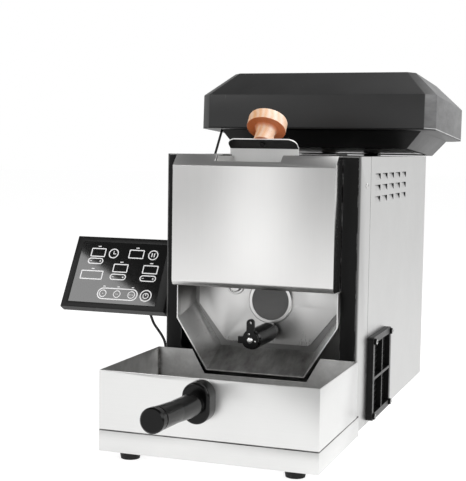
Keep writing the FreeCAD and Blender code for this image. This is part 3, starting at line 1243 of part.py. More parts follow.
def rounded_route(corners):
    """A wire of straight runs joined by tangent arcs, with each arc's radius."""
    spots = [Vector(*corner) for corner in corners]
    edges, radii, start = [], [], spots[0]
    for before, spot, after in zip(spots, spots[1:], spots[2:]):
        into, out = (spot - before).normalize(), (after - spot).normalize()
        reach = 0.45*min((spot - before).Length, (after - spot).Length)
        half = into.getAngle(out)/2
        radii.append(reach/math.tan(half))
        first, last = spot - into*reach, spot + out*reach
        inward = (out - into).normalize()
        crown = spot + inward*(radii[-1]/math.cos(half) - radii[-1])
        edges += [Part.LineSegment(start, first).toShape(), Part.Arc(first, crown, last).toShape()]
        start = last
    edges.append(Part.LineSegment(start, spots[-1]).toShape())
    return Part.Wire(edges), radii


def make_cable():
    """The panel's cable, a round tube along its route, and the grommets at its ends."""
    wire, radii = rounded_route(CABLE_ROUTE)
    radius = size_of("cable_radius")
    start, along = wire.Edges[0].valueAt(0), wire.Edges[0].tangentAt(0)
    section = Part.Wire(Part.makeCircle(radius, start, along))
    cable = doc.addObject("Part::Feature", "cable")
    cable.Shape = wire.makePipeShell([section], True, False)
    node("panel_cable", place(cable))
    print(f"panel_cable: {wire.Length:.1f} mm long, arc radii",
          ", ".join(f"{radius:.1f}" for radius in radii))
    tube = math.pi*radius**2*wire.Length
    print(f"panel_cable: volume {cable.Shape.Volume:.1f}, section times length {tube:.1f}")
    across = ("cable_in_y", "cable_in_z")
    rim = rod("grommet_rim", "cable_radius*3", "x", ("-casing_half - 1.5", "-casing_half"), across)
    neck = rod("grommet_neck", "cable_radius*2 - run_clear", "x", ("-casing_half - 1", "-inner_half"), across)
    gland = body("panel_gland")
    pad(gland, "xz", ("panel_thick", "panel_thick + gland_long"),
        ring("-gland_left", "panel_bevel + 3", "gland_radius"))
    node("cable_glands", group("cable_ends", join("grommet", rim, neck), on_panel(gland)))


# Cooling fan and its guard


def out_of_side(thing, start):
    """Lay an object made upright along X, from a distance to the right, on the fan's axis."""
    return place(turn(thing, (0, 1, 0), "90"), start, "fan_mid_y", "fan_mid_z")


def fan_spots(radius):
    """The four screw holes of a fan drawn about its own axis."""
    return [ring(f"{side}fan_bolts/2", f"{up}fan_bolts/2", radius) for side in ("-", "") for up in ("-", "")]


def make_fan():
    """The cooling fan under the drum: a square frame with its hub on struts, and the rotor."""
    frame = body("fan_frame")
    half, plate = "fan_size/2", "plate_thick*2"
    pad(frame, "xy", ("0", "fan_thick"), window(f"-{half}", half, f"-{half}", half))
    pocket(frame, "xy", ("0", "fan_thick"), ring("0", "0", "fan_bore"), *fan_spots("screw_radius*0.65"))
    pad(frame, "xy", ("0", plate), ring("0", "0", "fan_hub"))
    for low, high in (("-2", "2"), ("fan_hub*0.5", "fan_hub*0.5 + 4")):
        pad(frame, "xy", ("0", plate), window("fan_hub*0.7", "fan_bore + 1", low, high))
        pad(frame, "xy", ("0", plate), window("-fan_bore - 1", "-fan_hub*0.7", f"-({high})", f"-({low})"))
    pad(frame, "xy", (plate, "fan_thick*0.6"), ring("0", "0", "stay_radius"))
    node("fan_frame", out_of_side(frame, "inner_half - fan_thick"))
    rotor = body("fan_rotor")
    low, high, bore = f"({plate} + air_gap)", "(fan_thick - fan_recess)", "stay_radius + run_clear"
    lathe(rotor, (bore, low), ("fan_hub", low), ("fan_hub", f"{high} - 2"), ("fan_hub - 2", high),
          ("0", high),
          ("0", "fan_thick*0.6 + air_gap"), (bore, "fan_thick*0.6 + air_gap"))
    root = outline(("-5", f"{low} + 1"), ("-3", f"{low} + 1"), ("5", f"{high} - 3"), ("3", f"{high} - 3"))
    tip = outline(("-14", f"{low} + 4"), ("-12.5", f"{low} + 4"), ("12", f"{high} - 5"),
                  ("10.5", f"{high} - 5"))
    around(rotor, "fan_blades", loft(rotor, "yz", ("fan_hub - 1.5", root), ("fan_bore - 6", tip)))
    node("fan_rotor", out_of_side(rotor, "inner_half - fan_thick"))


def make_guard():
    """The guard on the casing's side: a rim with a cross and a pierced sheet behind it."""
    guard = body("fan_guard")
    half, inner, bar, thick = "fan_size/2", "(fan_size/2 - guard_rim)", "guard_bar/2", "guard_thick"
    pad(guard, "xy", ("0", thick), window(f"-{half}", half, f"-{half}", half))
    round_edges(guard, "guard_rim/2", lambda spot, edge: abs(edge.Length - size_of(thick)) < 0.1)
    panes = [window(*sorted((f"{side}{bar}", f"{side}{inner}"), key=size_of),
                    *sorted((f"{up}{bar}", f"{up}{inner}"), key=size_of))
             for side in ("-", "") for up in ("-", "")]
    pocket(guard, "xy", ("0", thick), *panes)
    recess = f"({inner} + 0.6)"
    pocket(guard, "xy", ("0", "sheet_thick"), window(f"-{recess}", recess, f"-{recess}", recess))
    pocket(guard, "xy", ("0", thick), *fan_spots("screw_radius*0.65"))
    node("fan_guard", out_of_side(guard, "casing_half"))
    mesh = body("guard_mesh")
    edge, count = f"({recess} - 0.2)", "mesh_count"
    pad(mesh, "xy", ("0", "sheet_thick"), window(f"-{edge}", edge, f"-{edge}", edge))
    pitch = f"(2*{inner}/mesh_count)"
    row = [window(f"-{inner} + ({number} + 0.2)*{pitch}", f"-{inner} + ({number} + 0.8)*{pitch}",
                  f"-{inner} + 0.2*{pitch}", f"-{inner} + 0.8*{pitch}")
           for number in range(int(size_of(count)))]
    along(mesh, "Y_Axis", f"2*{inner} - {pitch}", count, pocket(mesh, "xy", ("0", "sheet_thick"), *row))
    node("guard_mesh", out_of_side(mesh, "casing_half"))


# Power inlet and switch on the rear panel


def rim_of(middle, wide, tall, grow):
    """A rectangle at the power inlet's height, grown by a length on every side."""
    return window(f"{middle} - {wide}/2 - ({grow})", f"{middle} + {wide}/2 + {grow}",
                  f"inlet_up - {tall}/2 - ({grow})", f"inlet_up + {tall}/2 + {grow}")


def make_inlet():
    """The power inlet: a flanged shell with a recess and three flat pins."""
    inlet = body("power_inlet")
    middle, slack = "-inlet_aside", "run_clear"
    def frame_of(grow):
        return rim_of(middle, "inlet_wide", "inlet_tall", grow)
    face = "casing_deep + 2"
    pad(inlet, "xz", ("casing_deep", face), frame_of("3"))
    pad(inlet, "xz", ("casing_deep - 20", "casing_deep"), frame_of(f"-{slack}"))
    pocket(inlet, "xz", ("casing_deep - 16", face), frame_of("-2"))
    pins = [window(f"{middle} + {x} - 1", f"{middle} + {x} + 1", f"inlet_up + {z} - 2",
                   f"inlet_up + {z} + 2") for x, z in ((-7, -1.5), (0, 2), (7, -1.5))]
    pad(inlet, "xz", ("casing_deep - 17", "casing_deep - 3"), *pins)
    node("power_inlet", inlet)


def make_switch():
    """The power switch: a frame in the rear panel and a rocker on two pins."""
    frame = body("switch_frame")
    middle, room, wall = "-switch_aside", "air_gap", "1.7"
    def frame_of(grow):
        return rim_of(middle, "switch_wide", "(switch_tall + 0.6)", grow)
    pad(frame, "xz", ("casing_deep", "casing_deep + 1.5"), frame_of("4"))
    pad(frame, "xz", ("casing_deep - 14", "casing_deep"), frame_of(wall))
    pocket(frame, "xz", ("casing_deep - 12", "casing_deep + 1.5"), frame_of("0.7"))
    pivot = "casing_deep - 3"
    pocket(frame, "yz", (f"{middle} - switch_wide/2 - 1.9", f"{middle} + switch_wide/2 + 1.9"),
           ring(pivot, "inlet_up", "stay_radius + run_clear"))
    node("switch_frame", frame)
    rocker = body("power_rocker")
    half = "switch_tall/2"
    pad(rocker, "yz", ("-switch_wide/2", "switch_wide/2"), outline(
        ("5.5", f"-{half}"), ("4", "0"), ("5.5", half), ("-2", f"{half}*0.7"), ("-3", "0"),
        ("-2", f"-{half}*0.7")))
    pad(rocker, "yz", ("-switch_wide/2 - 1.2", "switch_wide/2 + 1.2"), ring("0", "0", "stay_radius"))
    turn(rocker, (1, 0, 0), "rocker_tilt")
    node("power_rocker", place(rocker, middle, pivot, "inlet_up"))


# Fasteners


def screw(name, long):
    """A pan-head screw that stands on its own XY plane, with its shank below."""
    part = body(name)
    lathe(part, ("0", "screw_tall"), ("screw_radius*0.7", "screw_tall"), ("screw_radius", "screw_tall*0.4"),
          ("screw_radius", "0"),
          ("screw_radius*0.6", "0"), ("screw_radius*0.6", f"-({long})"), ("0", f"-({long})"))
    return part


def make_screws():
    """The screws in the side strips, the rear panel and the fan guard."""
    strips = []
    for name, side, tilt in (("left", "-", "-90"), ("right", "", "90")):
        one = turn(screw(f"strip_screw_{name}", "sheet_thick"), (0, 1, 0), tilt)
        strips.append(place(one, f"{side}casing_half", "strip_screw_y", "strip_screw_z"))
    rears = [place(turn(screw(f"rear_screw_{number}", "sheet_thick"), (1, 0, 0), "-90"), x, "casing_deep", z)
             for number, (x, z) in enumerate(rear_screw_spots())]
    node("casing_screws", group("casing_screw_group", *strips, *rears))
    guards = []
    for number, (across, up) in enumerate((across, up) for across in "-+" for up in "-+"):
        one = turn(screw(f"guard_screw_{number}", "guard_thick + sheet_thick + fan_thick/2"), (0, 1, 0), "90")
        guards.append(place(one, "casing_half + guard_thick", f"fan_mid_y {across} fan_bolts/2",
                            f"fan_mid_z {up} fan_bolts/2"))
    node("guard_screws", group("guard_screw_group", *guards))


# Building, checking and export


def check():
    """Stop if any object failed or any sub-part's shape isn't valid."""
    doc.recompute()
    failed = [thing.Name for thing in doc.Objects if {"Invalid", "Error"} & set(thing.State)]
    bad = [thing.Label for thing in NODES if thing.Shape.isNull() or not thing.Shape.isValid()]
    if failed or bad:
        raise RuntimeError(f"failed objects: {failed}; bad shapes: {bad}")


def export():
    """Write one STEP file for each sub-part."""
    os.makedirs("parts", exist_ok=True)
    for thing in NODES:
        thing.Shape.exportStep(f"parts/{thing.Label}.step")
        print(f"{thing.Label}: {len(thing.Shape.Solids)} solids, {thing.Shape.Volume:.0f} mm3")


for make in (make_base, make_front_frame, make_sides, make_top, make_rear, make_cover, make_hopper, make_gate,
             make_knob, make_front_plate, make_chamber, make_drum, make_drive, make_door, make_door_pin,
             make_latch, make_chute, make_tray, make_handle, make_hood, make_skirt, make_hinge, make_stay,
             make_panel, make_cable, make_fan, make_guard, make_inlet, make_switch, make_screws):
    make()
check()
export()
print(f"{len(NODES)} sub-parts")
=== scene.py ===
# %% [markdown]
# # A home coffee bean roaster, dressed for the camera
# The construction arrives as a fixed frame: sheet metal, shafts, gears and knobs, each a named node that
# rides on a moving body. This lesson gives every node its finish, rounds the folds of the metal that the eye
# meets first, and adds what is too fine for the construction: a cable, printed keys, a turned knob and the
# heads of the screws.

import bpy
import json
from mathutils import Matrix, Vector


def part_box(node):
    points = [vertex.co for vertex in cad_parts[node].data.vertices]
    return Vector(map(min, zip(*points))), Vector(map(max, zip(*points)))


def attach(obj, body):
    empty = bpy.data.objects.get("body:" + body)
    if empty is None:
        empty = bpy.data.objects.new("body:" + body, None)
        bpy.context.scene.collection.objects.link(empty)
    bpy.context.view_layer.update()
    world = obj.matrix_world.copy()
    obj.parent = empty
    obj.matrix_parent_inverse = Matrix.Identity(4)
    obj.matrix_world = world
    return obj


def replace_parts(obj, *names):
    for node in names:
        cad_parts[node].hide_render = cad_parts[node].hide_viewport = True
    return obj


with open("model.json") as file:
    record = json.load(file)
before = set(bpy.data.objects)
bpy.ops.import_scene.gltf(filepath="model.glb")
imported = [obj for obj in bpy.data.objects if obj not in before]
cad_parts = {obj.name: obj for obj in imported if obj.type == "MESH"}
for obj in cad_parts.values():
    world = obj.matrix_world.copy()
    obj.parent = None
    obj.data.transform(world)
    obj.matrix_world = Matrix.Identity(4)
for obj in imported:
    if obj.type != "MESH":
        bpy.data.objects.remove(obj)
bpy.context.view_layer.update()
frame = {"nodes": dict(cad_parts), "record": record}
print("nodes in the frame:", len(frame["nodes"]))

# %% Tools used all the way through
import json
import math

import bmesh
import bpy
from mathutils import Matrix, Vector

MM = 0.001
nodes = frame["nodes"]
body_of = {name: body for body, names in frame["record"]["behaviour"]["bodies"].items() for name in names}

# %% [markdown]
# ## The machine's own origin
# A maker measures this machine from the middle of its front plate, on the table. The frame is centred on the
# whole machine instead, hood and panel included, so the front frame tells where that origin went. One
# function then turns a maker's millimetres into the frame's metres, so that no later cell has to know the
# shift.

# %% Turn the maker's millimetres into the frame's metres
left_side, right_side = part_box("side_panel_left"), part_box("side_panel_right")
origin = Vector(((left_side[0].x + right_side[1].x) / 2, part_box("front_frame")[0].y, 0))


def spot(x, y, z):
    """A place on the machine, in mm right of the middle, behind the front and above the table."""
    return origin + Vector((x, y, z)) * MM


print("the machine's origin in the frame:", [round(number, 4) for number in origin])

# %% [markdown]
# ## Camera
# A long lens from a little over a metre away keeps the sheets' edges nearly parallel. The camera stands to
# the right of the front and just above the casing, looks slightly down and leans by less than a degree. Its
# three axes are worked out from those angles, and the lens is left unshifted.

# %% Place the camera
LENS = 85.45
STAND = (379.7, -1152.2, 305.6)
TURN, DIP, LEAN = (math.radians(angle) for angle in (19.60, 4.57, 0.87))
ahead = Vector((-math.sin(TURN) * math.cos(DIP), math.cos(TURN) * math.cos(DIP), -math.sin(DIP)))
level = Vector((math.cos(TURN), math.sin(TURN), 0))
across = level * math.cos(LEAN) + level.cross(ahead) * math.sin(LEAN)
upward = across.cross(ahead)
camera = bpy.data.objects.new("camera", bpy.data.cameras.new("camera"))
camera.data.lens = LENS
facing = Matrix((across, upward, -ahead)).transposed().to_4x4()
camera.matrix_world = Matrix.Translation(spot(*STAND)) @ facing
bpy.context.scene.collection.objects.link(camera)
bpy.context.scene.camera = camera
print("camera at", [round(number, 3) for number in camera.location])

# %% [markdown]
# ## Shader maths
# A finish is a small sum: a colour, plus a little noise, times a mask. Written out as nodes and links it is
# hard to read, so one class wraps a socket and lets such sums be written as sums. Every other node comes from
# one method, which takes the node's type, its settings and what goes into its sockets.

# %% A socket that can be calculated with
class Wire:
    """One output of a node tree. Arithmetic on it adds Math nodes."""

    def __init__(self, tree, socket=None):
        self.tree, self.socket = tree, socket

    def node(self, kind, settings=None, out=0, **inputs):
        """Any node: its settings, then the values or wires of its sockets, by name or as _0, _1 and so on."""
        made = self.tree.nodes.new("ShaderNode" + kind)
        for key, value in (settings or {}).items():
            setattr(made, key, value)
        for key, value in inputs.items():
            socket = made.inputs[int(key[1:]) if key[0] == "_" else key.replace("_", " ")]
            feed(self.tree, socket, value)
        return Wire(self.tree, made.outputs[out])

    def other(self, name):
        """Another output of the same node."""
        return Wire(self.tree, self.socket.node.outputs[name])

    def math(self, operation, one, other=0.0):
        """A Math node of one value or two."""
        return self.node("Math", {"operation": operation}, _0=one, _1=other)

    def __add__(self, other):
        return self.math("ADD", self, other)

    def __mul__(self, other):
        return self.math("MULTIPLY", self, other)

    def __sub__(self, other):
        return self.math("SUBTRACT", self, other)

    def __rsub__(self, other):
        return self.math("SUBTRACT", other, self)

    __radd__, __rmul__ = __add__, __mul__

    def step(self, low, high):
        """0 below low, 1 above high, and smooth between them."""
        settings = {"interpolation_type": "SMOOTHSTEP"}
        return self.node("MapRange", settings, Value=self, From_Min=low, From_Max=high)

    def mix(self, low, high):
        """The colour low where this value is 0, high where it is 1."""
        return self.node("Mix", {"data_type": "RGBA"}, 2, _0=self, _6=low, _7=high)

    def scaled(self, x, y, z):
        """This place, stretched along each axis."""
        return self.node("VectorMath", {"operation": "MULTIPLY"}, _0=self, _1=(x, y, z))

    def noise(self, scale, detail=2.0, roughness=0.5):
        """Soft noise about 0.5 at this place."""
        return self.node("TexNoise", Vector=self, Scale=scale, Detail=detail, Roughness=roughness)


def feed(tree, socket, value):
    """Link a wire to a socket, or set the socket to a number, a vector or a colour."""
    if isinstance(value, Wire):
        tree.links.new(value.socket, socket)
    elif socket.type == "RGBA":
        socket.default_value = (*value[:3], 1)
    else:
        socket.default_value = value


print("shader maths ready")

# %% [markdown]
# ## Floor, sky and lamps
# Bright metal shows what stands round it, so the room matters as much as the lamps. The table is a pale disc
# that runs out of sight, and the sky is white where the camera, a reflection or a pane of glass looks at it.
# Overhead, behind the camera and to the right the reflected room falls off to grey, as a studio does behind
# its lamps, which gives flat sheets their soft bands and bevels their dark ones. A few wide area lamps throw
# a shadow without an edge.

# %% Light the room
ROOM_GREY, CEILING_GREY, ASIDE_GREY, SKY_LIGHT = 0.34, 0.14, 0.15, 0.46
NEAR_FADES, ABOVE_FADES, ASIDE_FADES = (-0.9, -0.2), (0.45, 0.8), (0.5, 0.85)


def seen(start):
    """1 on the rays by which the camera, a mirror or glass sees a thing, 0 on those that light the object."""
    path = start.node("LightPath")
    return path.other("Is Camera Ray") + path.other("Is Glossy Ray") + path.other("Is Transmission Ray")


room = bpy.data.worlds.new("room")
bpy.context.scene.world = room
room.use_nodes = True
start = Wire(room.node_tree)
toward = start.node("SeparateXYZ", Vector=start.node("TexCoord"))
near, above = 1 - toward.other("Y").step(*NEAR_FADES), toward.other("Z").step(*ABOVE_FADES)
aside = toward.step(*ASIDE_FADES)
mirrored = start.node("LightPath").other("Is Glossy Ray")
shown = (1 - near*(1 - ROOM_GREY))*(1 - above*(1 - CEILING_GREY))*(1 - aside*(1 - ASIDE_GREY))
white = 1 - mirrored*(1 - shown)
look = seen(start)
sky = room.node_tree.nodes["Background"].inputs
feed(room.node_tree, sky["Strength"], look*white + (1 - look)*SKY_LIGHT)
feed(room.node_tree, sky["Color"], (1, 1, 1))
bpy.context.scene.view_settings.view_transform = "Standard"
print("sky light", SKY_LIGHT, "and the reflected room", ROOM_GREY)

# %% Lay the table
TABLE_PALE, TABLE_SHINE, TABLE_RADIUS = 0.42, 0.80, 14
table_mesh = bpy.data.meshes.new("table")
shape = bmesh.new()
bmesh.ops.create_circle(shape, cap_ends=True, segments=96, radius=TABLE_RADIUS)
shape.to_mesh(table_mesh)
shape.free()
table = bpy.data.objects.new("table", table_mesh)
bpy.context.scene.collection.objects.link(table)
pale = bpy.data.materials.new("table_pale")
pale.use_nodes = True
start, shader = Wire(pale.node_tree), pale.node_tree.nodes["Principled BSDF"]
feed(pale.node_tree, shader.inputs["Base Color"], (TABLE_PALE, TABLE_PALE, TABLE_PALE))
feed(pale.node_tree, shader.inputs["Roughness"], 0.9)
feed(pale.node_tree, shader.inputs["Specular IOR Level"], 0.0)
feed(pale.node_tree, shader.inputs["Emission Color"], seen(start).mix((0, 0, 0), (1, 1, 1)))
feed(pale.node_tree, shader.inputs["Emission Strength"], TABLE_SHINE)
table_mesh.materials.append(pale)
print("the table is", round(table.dimensions.x), "m across")

# %% Hang the lamps
def lamp(name, place, aim, size, power):
    """A soft area lamp at a place, turned to an aim, both in metres from the machine's origin."""
    light = bpy.data.lights.new(name, "AREA")
    light.shape, light.size, light.size_y, light.energy = "RECTANGLE", *size, power
    stand = bpy.data.objects.new(name, light)
    stand.location = origin + Vector(place)
    stand.rotation_euler = (Vector(aim) - Vector(place)).to_track_quat("-Z", "Y").to_euler()
    bpy.context.scene.collection.objects.link(stand)
    print(name, "lamp,", power, "W")


lamp("front", (-0.50, -1.75, 0.42), (0, 0, 0.2), (0.62, 1.1), 1.9)
lamp("fill", (0.95, -1.25, 0.55), (0, -0.05, 0.1), (0.8, 0.8), 2.6)
lamp("panel", (-1.05, -0.95, 1.15), (-0.19, 0, 0.17), (0.5, 0.6), 5)
lamp("side", (1.7, -0.3, 1.1), (0, 0.1, 0.3), (1.1, 1.1), 18)
lamp("top", (0.7, 0.5, 1.9), (0, 0.1, 0.1), (1.4, 1.4), 13)

# %% [markdown]
# ## Finishes
# Each material slot of the construction gets a finish of its own. All of them read Object coordinates: every
# piece keeps its object at the same origin, so a grain runs on from one sheet to the next as it does when
# both are cut from one plate, and it stays with the metal when a body moves. A noise's scale is the number of
# its lumps in a metre, so 900 makes lines and pebbles of about a millimetre.

# %% Start a finish
finishes = {}


def finish(slot):
    """A new material for a slot: a wire to do its maths with and its shader's sockets."""
    material = bpy.data.materials.new(slot)
    material.use_nodes = True
    finishes[slot] = material
    return Wire(material.node_tree), material.node_tree.nodes["Principled BSDF"].inputs


def coat(start, sockets, **values):
    """Feed a shader's sockets, named with underscores."""
    for name, value in values.items():
        feed(start.tree, sockets[name.replace("_", " ")], value)


def relief(start, height, tall, strength):
    """A normal from a height between 0 and 1, for a relief of so many mm."""
    return start.node("Bump", Strength=strength, Distance=tall*MM, Height=height)


def here(start):
    """The place on the object."""
    return start.node("TexCoord").other("Object")


def facing_of(start):
    """How far the surface looks along X, and along Y and Z by its other outputs."""
    return start.node("SeparateXYZ", Vector=start.node("TexCoord").other("Normal"))


def height_of(start, place):
    """The height of a place above the table."""
    return start.node("SeparateXYZ", Vector=place).other("Z")


# %% [markdown]
# ### Steel sheet
# Rolled stainless is brushed with a belt, which leaves lines along one direction. They hardly change its
# colour but they tilt the reflection, so most of the grain goes into roughness and relief. Broad soft patches
# stand for handling and polish, and small dark specks for wear. One function makes every steel sheet. Lines
# are noise stretched along the way of the belt: 900 to the metre across it, and twelve along it.

# %% Brush a steel
UPRIGHT, LEVEL, DEEP = (900.0, 900.0, 12.0), (12.0, 900.0, 900.0), (900.0, 12.0, 900.0)
GRAIN = 0.04


def brushed(slot, bright, rough, lines, patches=0.06, grime=0.0, metallic=1.0):
    """A brushed steel of a brightness and roughness, with lines stretched as three scales say."""
    start, sockets = finish(slot)
    place = here(start)
    fine = place.scaled(*lines).noise(1.0, 3.0, 0.6)
    broad = place.noise(14.0, 3.0, 0.55)
    spots = place.noise(160.0, 4.0, 0.7).step(0.66, 0.74)*place.noise(9.0, 2.0).step(0.5, 0.62)*grime
    tone = (fine - 0.5)*GRAIN + (broad - 0.5)*0.10 + 1.0 - spots*0.8
    metal = tone*bright
    colour = start.node("CombineColor", Red=metal, Green=metal*0.995, Blue=metal*0.985)
    wear = (fine - 0.5)*GRAIN*2 + (broad - 0.5)*patches*4 + spots*0.3 + rough
    coat(start, sockets, Base_Color=colour, Metallic=metallic, Roughness=wear,
         Normal=relief(start, fine, 0.004, 0.25))
    return start, sockets, place, metal


brushed("stainless", 0.74, 0.32, UPRIGHT)
brushed("door_steel", 0.66, 0.34, UPRIGHT, 0.10, 0.8)
brushed("casing_steel", 0.56, 0.38, UPRIGHT)
# The top panel is painted dark, as a painted reflection of the black hood above it.
brushed("top_steel", 0.22, 0.26, LEVEL, 0.10, 0.5)
brushed("inner_steel", 0.30, 0.38, UPRIGHT, 0.12, 0.8)
brushed("bright_steel", 0.82, 0.16, LEVEL, 0.03)
brushed("gear_steel", 0.52, 0.30, DEEP, 0.08)
brushed("dark_screws", 0.03, 0.35, LEVEL, 0.05)
print("steels:", len(finishes))

# %% [markdown]
# The front cover is brushed on its face only. Its sides keep the smooth skin of the rolled sheet, so they
# mirror the black columns beside them. The same steel is used again, with less roughness where it looks
# sideways.

# %% Leave the cover's sides smooth
FACE_ROUGH, SIDE_ROUGH = 0.32, 0.15
start, sockets, place, metal = brushed("cover_steel", 0.74, FACE_ROUGH, UPRIGHT)
sideways = start.math("ABSOLUTE", facing_of(start)).step(0.85, 0.97)
lines = place.scaled(*UPRIGHT).noise(1.0, 3.0, 0.6) - 0.5
coat(start, sockets, Roughness=lines*0.06 + FACE_ROUGH - sideways*(FACE_ROUGH - SIDE_ROUGH))
print("the cover's face is", FACE_ROUGH, "rough and its sides", SIDE_ROUGH)

# %% [markdown]
# ### Stains and painted shade
# Hot oily beans dull the steel where they run and lie: it is darker there and blotched. One function makes
# such a steel, and the same function paints shade into a steel as a darker colour. It asks another function
# for a mask, 0 where the metal is clean and 1 where the stain or the painted shade covers it, so each piece
# needs only a short mask of its own.

# %% Stain a steel
def stained_and_shaded(slot, bright, rough, lines, mask_of, dark, dull=0.14, metallic=1.0):
    """A brushed steel that goes to a dark colour where a function of the place says how much."""
    start, sockets, place, metal = brushed(slot, bright, rough, lines, grime=0.3, metallic=metallic)
    blotch = place.noise(55.0, 4.0, 0.65)
    mask = mask_of(start, place, blotch)
    clean = start.node("CombineColor", Red=metal, Green=metal, Blue=metal*0.99)
    coat(start, sockets, Base_Color=mask.mix(clean, dark), Roughness=mask*dull + (blotch - 0.5)*0.1 + rough)
    print(slot, "stained_and_shaded")


# The first dark is the beans' stain, and also the painted shade of the tray's seam and the chute's left wall;
# the other two darks are painted shade only.
BEAN_OIL_AND_SHADE, PAINTED_SHADE_DARK, HOLLOW_SHADE_DARK = (0.05, 0.045, 0.04), (0.02, 0.02, 0.02), (0.01, 0.01, 0.01)

# %% [markdown]
# The cooling tray is stained inside only, most of all down its corners, where the heat of the weld has blued
# it. The distance from the tray's middle, compared with half its room, tells inside from outside. The seam
# between the tray and the plinth under it is drawn as a thin dark line of painted shade.

# %% Stain the tray, and paint shade along its seam with the plinth
tray_low, tray_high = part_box("cooling_tray")
TRAY_WALL, SLACK, SEAM, WELD = 1.2*MM, 0.3*MM, 0.8*MM, 6*MM
tray_middle = (tray_low + tray_high)/2
room_x, room_y = (tray_high.x - tray_low.x)/2 - TRAY_WALL, (tray_high.y - tray_low.y)/2 - TRAY_WALL
plinth_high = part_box("base_pan")[1].z


def tray_stain_and_seam_shade(start, place, blotch):
    """The tray's inside, its four corner welds, and painted shade along its lower seam."""
    apart = place.node("VectorMath", {"operation": "SUBTRACT"}, _0=place, _1=tray_middle)
    sides = start.node("SeparateXYZ", Vector=apart.node("VectorMath", {"operation": "ABSOLUTE"}, _0=apart))
    within = (1 - sides.step(room_x, room_x + SLACK))*(1 - sides.other("Y").step(room_y, room_y + SLACK))
    weld = sides.step(room_x - WELD, room_x)*sides.other("Y").step(room_y - WELD, room_y)
    seam = (1 - height_of(start, place).step(tray_low.z + SEAM*0.5, tray_low.z + SEAM))*(1 - within)
    return within*(blotch*0.5 + 0.20) + within*weld*blotch*0.9 + seam*(blotch*0.9 + 0.2)


def plinth_seam_shade(start, place, blotch):
    """Painted shade along the plinth's upper seam."""
    return height_of(start, place).step(plinth_high - SEAM, plinth_high - SEAM*0.5)*(blotch*0.9 + 0.3)


stained_and_shaded("tray_steel", 0.72, 0.34, LEVEL, tray_stain_and_seam_shade, BEAN_OIL_AND_SHADE)
stained_and_shaded("plinth_steel", 0.74, 0.36, LEVEL, plinth_seam_shade, (0.04, 0.04, 0.04))
print("the tray's room is", round(room_x*2/MM), "x", round(room_y*2/MM), "mm")

# %% [markdown]
# The chute is darkest on its floor, where every batch slides over it, with smears that run up its walls. The
# top of its left wall, under the cover, is darkened with painted shade.

# %% Stain the chute and paint shade on its left wall
chute_foot, chute_head = (corner.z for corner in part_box("bean_chute"))
FLOOR_FADES = (chute_foot + 16*MM, chute_foot + 34*MM)
LEFT_WALL_SHADE_FADES = (chute_head - 42*MM, chute_head - 4*MM)
SMEARS = (60.0, 14.0, 60.0)


def chute_stain_and_shade(start, place, blotch):
    """The chute's floor, smears that run up its walls, and painted shade at the top of its left wall."""
    height = height_of(start, place)
    smear = place.scaled(*SMEARS).noise(1.0, 4.0, 0.7)
    floor = 1 - height.step(*FLOOR_FADES)
    wall_shade = facing_of(start).step(0.3, 0.6)*height.step(*LEFT_WALL_SHADE_FADES)
    return floor*(smear*0.8 + 0.25) + (1 - floor)*smear.step(0.58, 0.72)*0.35 + wall_shade*0.9


stained_and_shaded("chute_steel", 0.92, 0.33, DEEP, chute_stain_and_shade, BEAN_OIL_AND_SHADE, 0.06, metallic=0.75)

# %% [markdown]
# Three more sheets have painted shade, a dark part placed by the way it looks or by where it lies: the
# underside of the gate's lip, the front edge of the side strips along the joint with the black frame, and all
# of a side panel that doesn't look outward, which is its back and the mouths of its louvres. The same painted
# shade gives a screw head a dark flank below its bright dome.

# %% Paint shade under the lip, along the joints and in the louvres
strip_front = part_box("side_strips")[0].y
JOINT_FADES = (1.5*MM, 10*MM)


def lip_painted_shade(start, place, blotch):
    """Painted shade on what looks down."""
    return 1 - facing_of(start).other("Z").step(-0.6, -0.3)


def joint_dirt_and_shade(start, place, blotch):
    """Painted shade, with some dirt, on the first few millimetres behind the strips' front edge."""
    behind = start.node("SeparateXYZ", Vector=place).other("Y") - strip_front
    return (1 - behind.step(*JOINT_FADES))*0.8


def hollow_painted_shade(start, place, blotch):
    """Painted shade on what doesn't look away from the machine's middle."""
    side = start.math("SIGN", start.node("SeparateXYZ", Vector=place) - origin.x)
    return 1 - (facing_of(start)*side).step(0.55, 0.80)


stained_and_shaded("gate_steel", 0.98, 0.30, UPRIGHT, lip_painted_shade, PAINTED_SHADE_DARK, 0.0, metallic=0.2)
stained_and_shaded("strip_steel", 0.56, 0.38, UPRIGHT, joint_dirt_and_shade, PAINTED_SHADE_DARK, 0.1)
stained_and_shaded("side_steel", 0.56, 0.38, UPRIGHT, hollow_painted_shade, HOLLOW_SHADE_DARK, 0.2)

# %% [markdown]
# ### Brass
# The bearings of the drum are turned brass. It goes brown in soft patches, which are duller too.

# %% Tarnish the brass
start, sockets = finish("brass_parts")
patina = here(start).noise(80.0, 3.0, 0.6)
coat(start, sockets, Base_Color=patina.mix((0.74, 0.53, 0.24), (0.58, 0.40, 0.19)), Metallic=1.0,
     Roughness=patina*0.2 + 0.2)
print(len(finishes), "finishes so far")

# %% [markdown]
# ### Paints
# The hood, its skirt, the front columns and the motor are powder coated. The powder melts into small pebbles,
# which break up a reflection without hiding it. Where a thing is rubbed the paint goes pale, and at last it
# is gone: along edges, in scratches, and along the rim at the hood's right side, by which it is lifted. The
# faces of the hood and skirt that look right are painted paler in streaks: partly wear, partly painted light
# from the side. The four paints share one function. It finds edges from the way they look, because a piece
# that lies square looks askew only there, and the rim from its height, less the slope of the hood, which
# stands propped by three degrees.

# %% Find edges and the hood's rim
HOOD_PROP = math.tan(math.radians(3))
RIM_FADES = (0.7*MM, 1.4*MM)
hood_rim = min(corner.co.z + corner.co.y*HOOD_PROP for corner in nodes["hood_shell"].data.vertices)


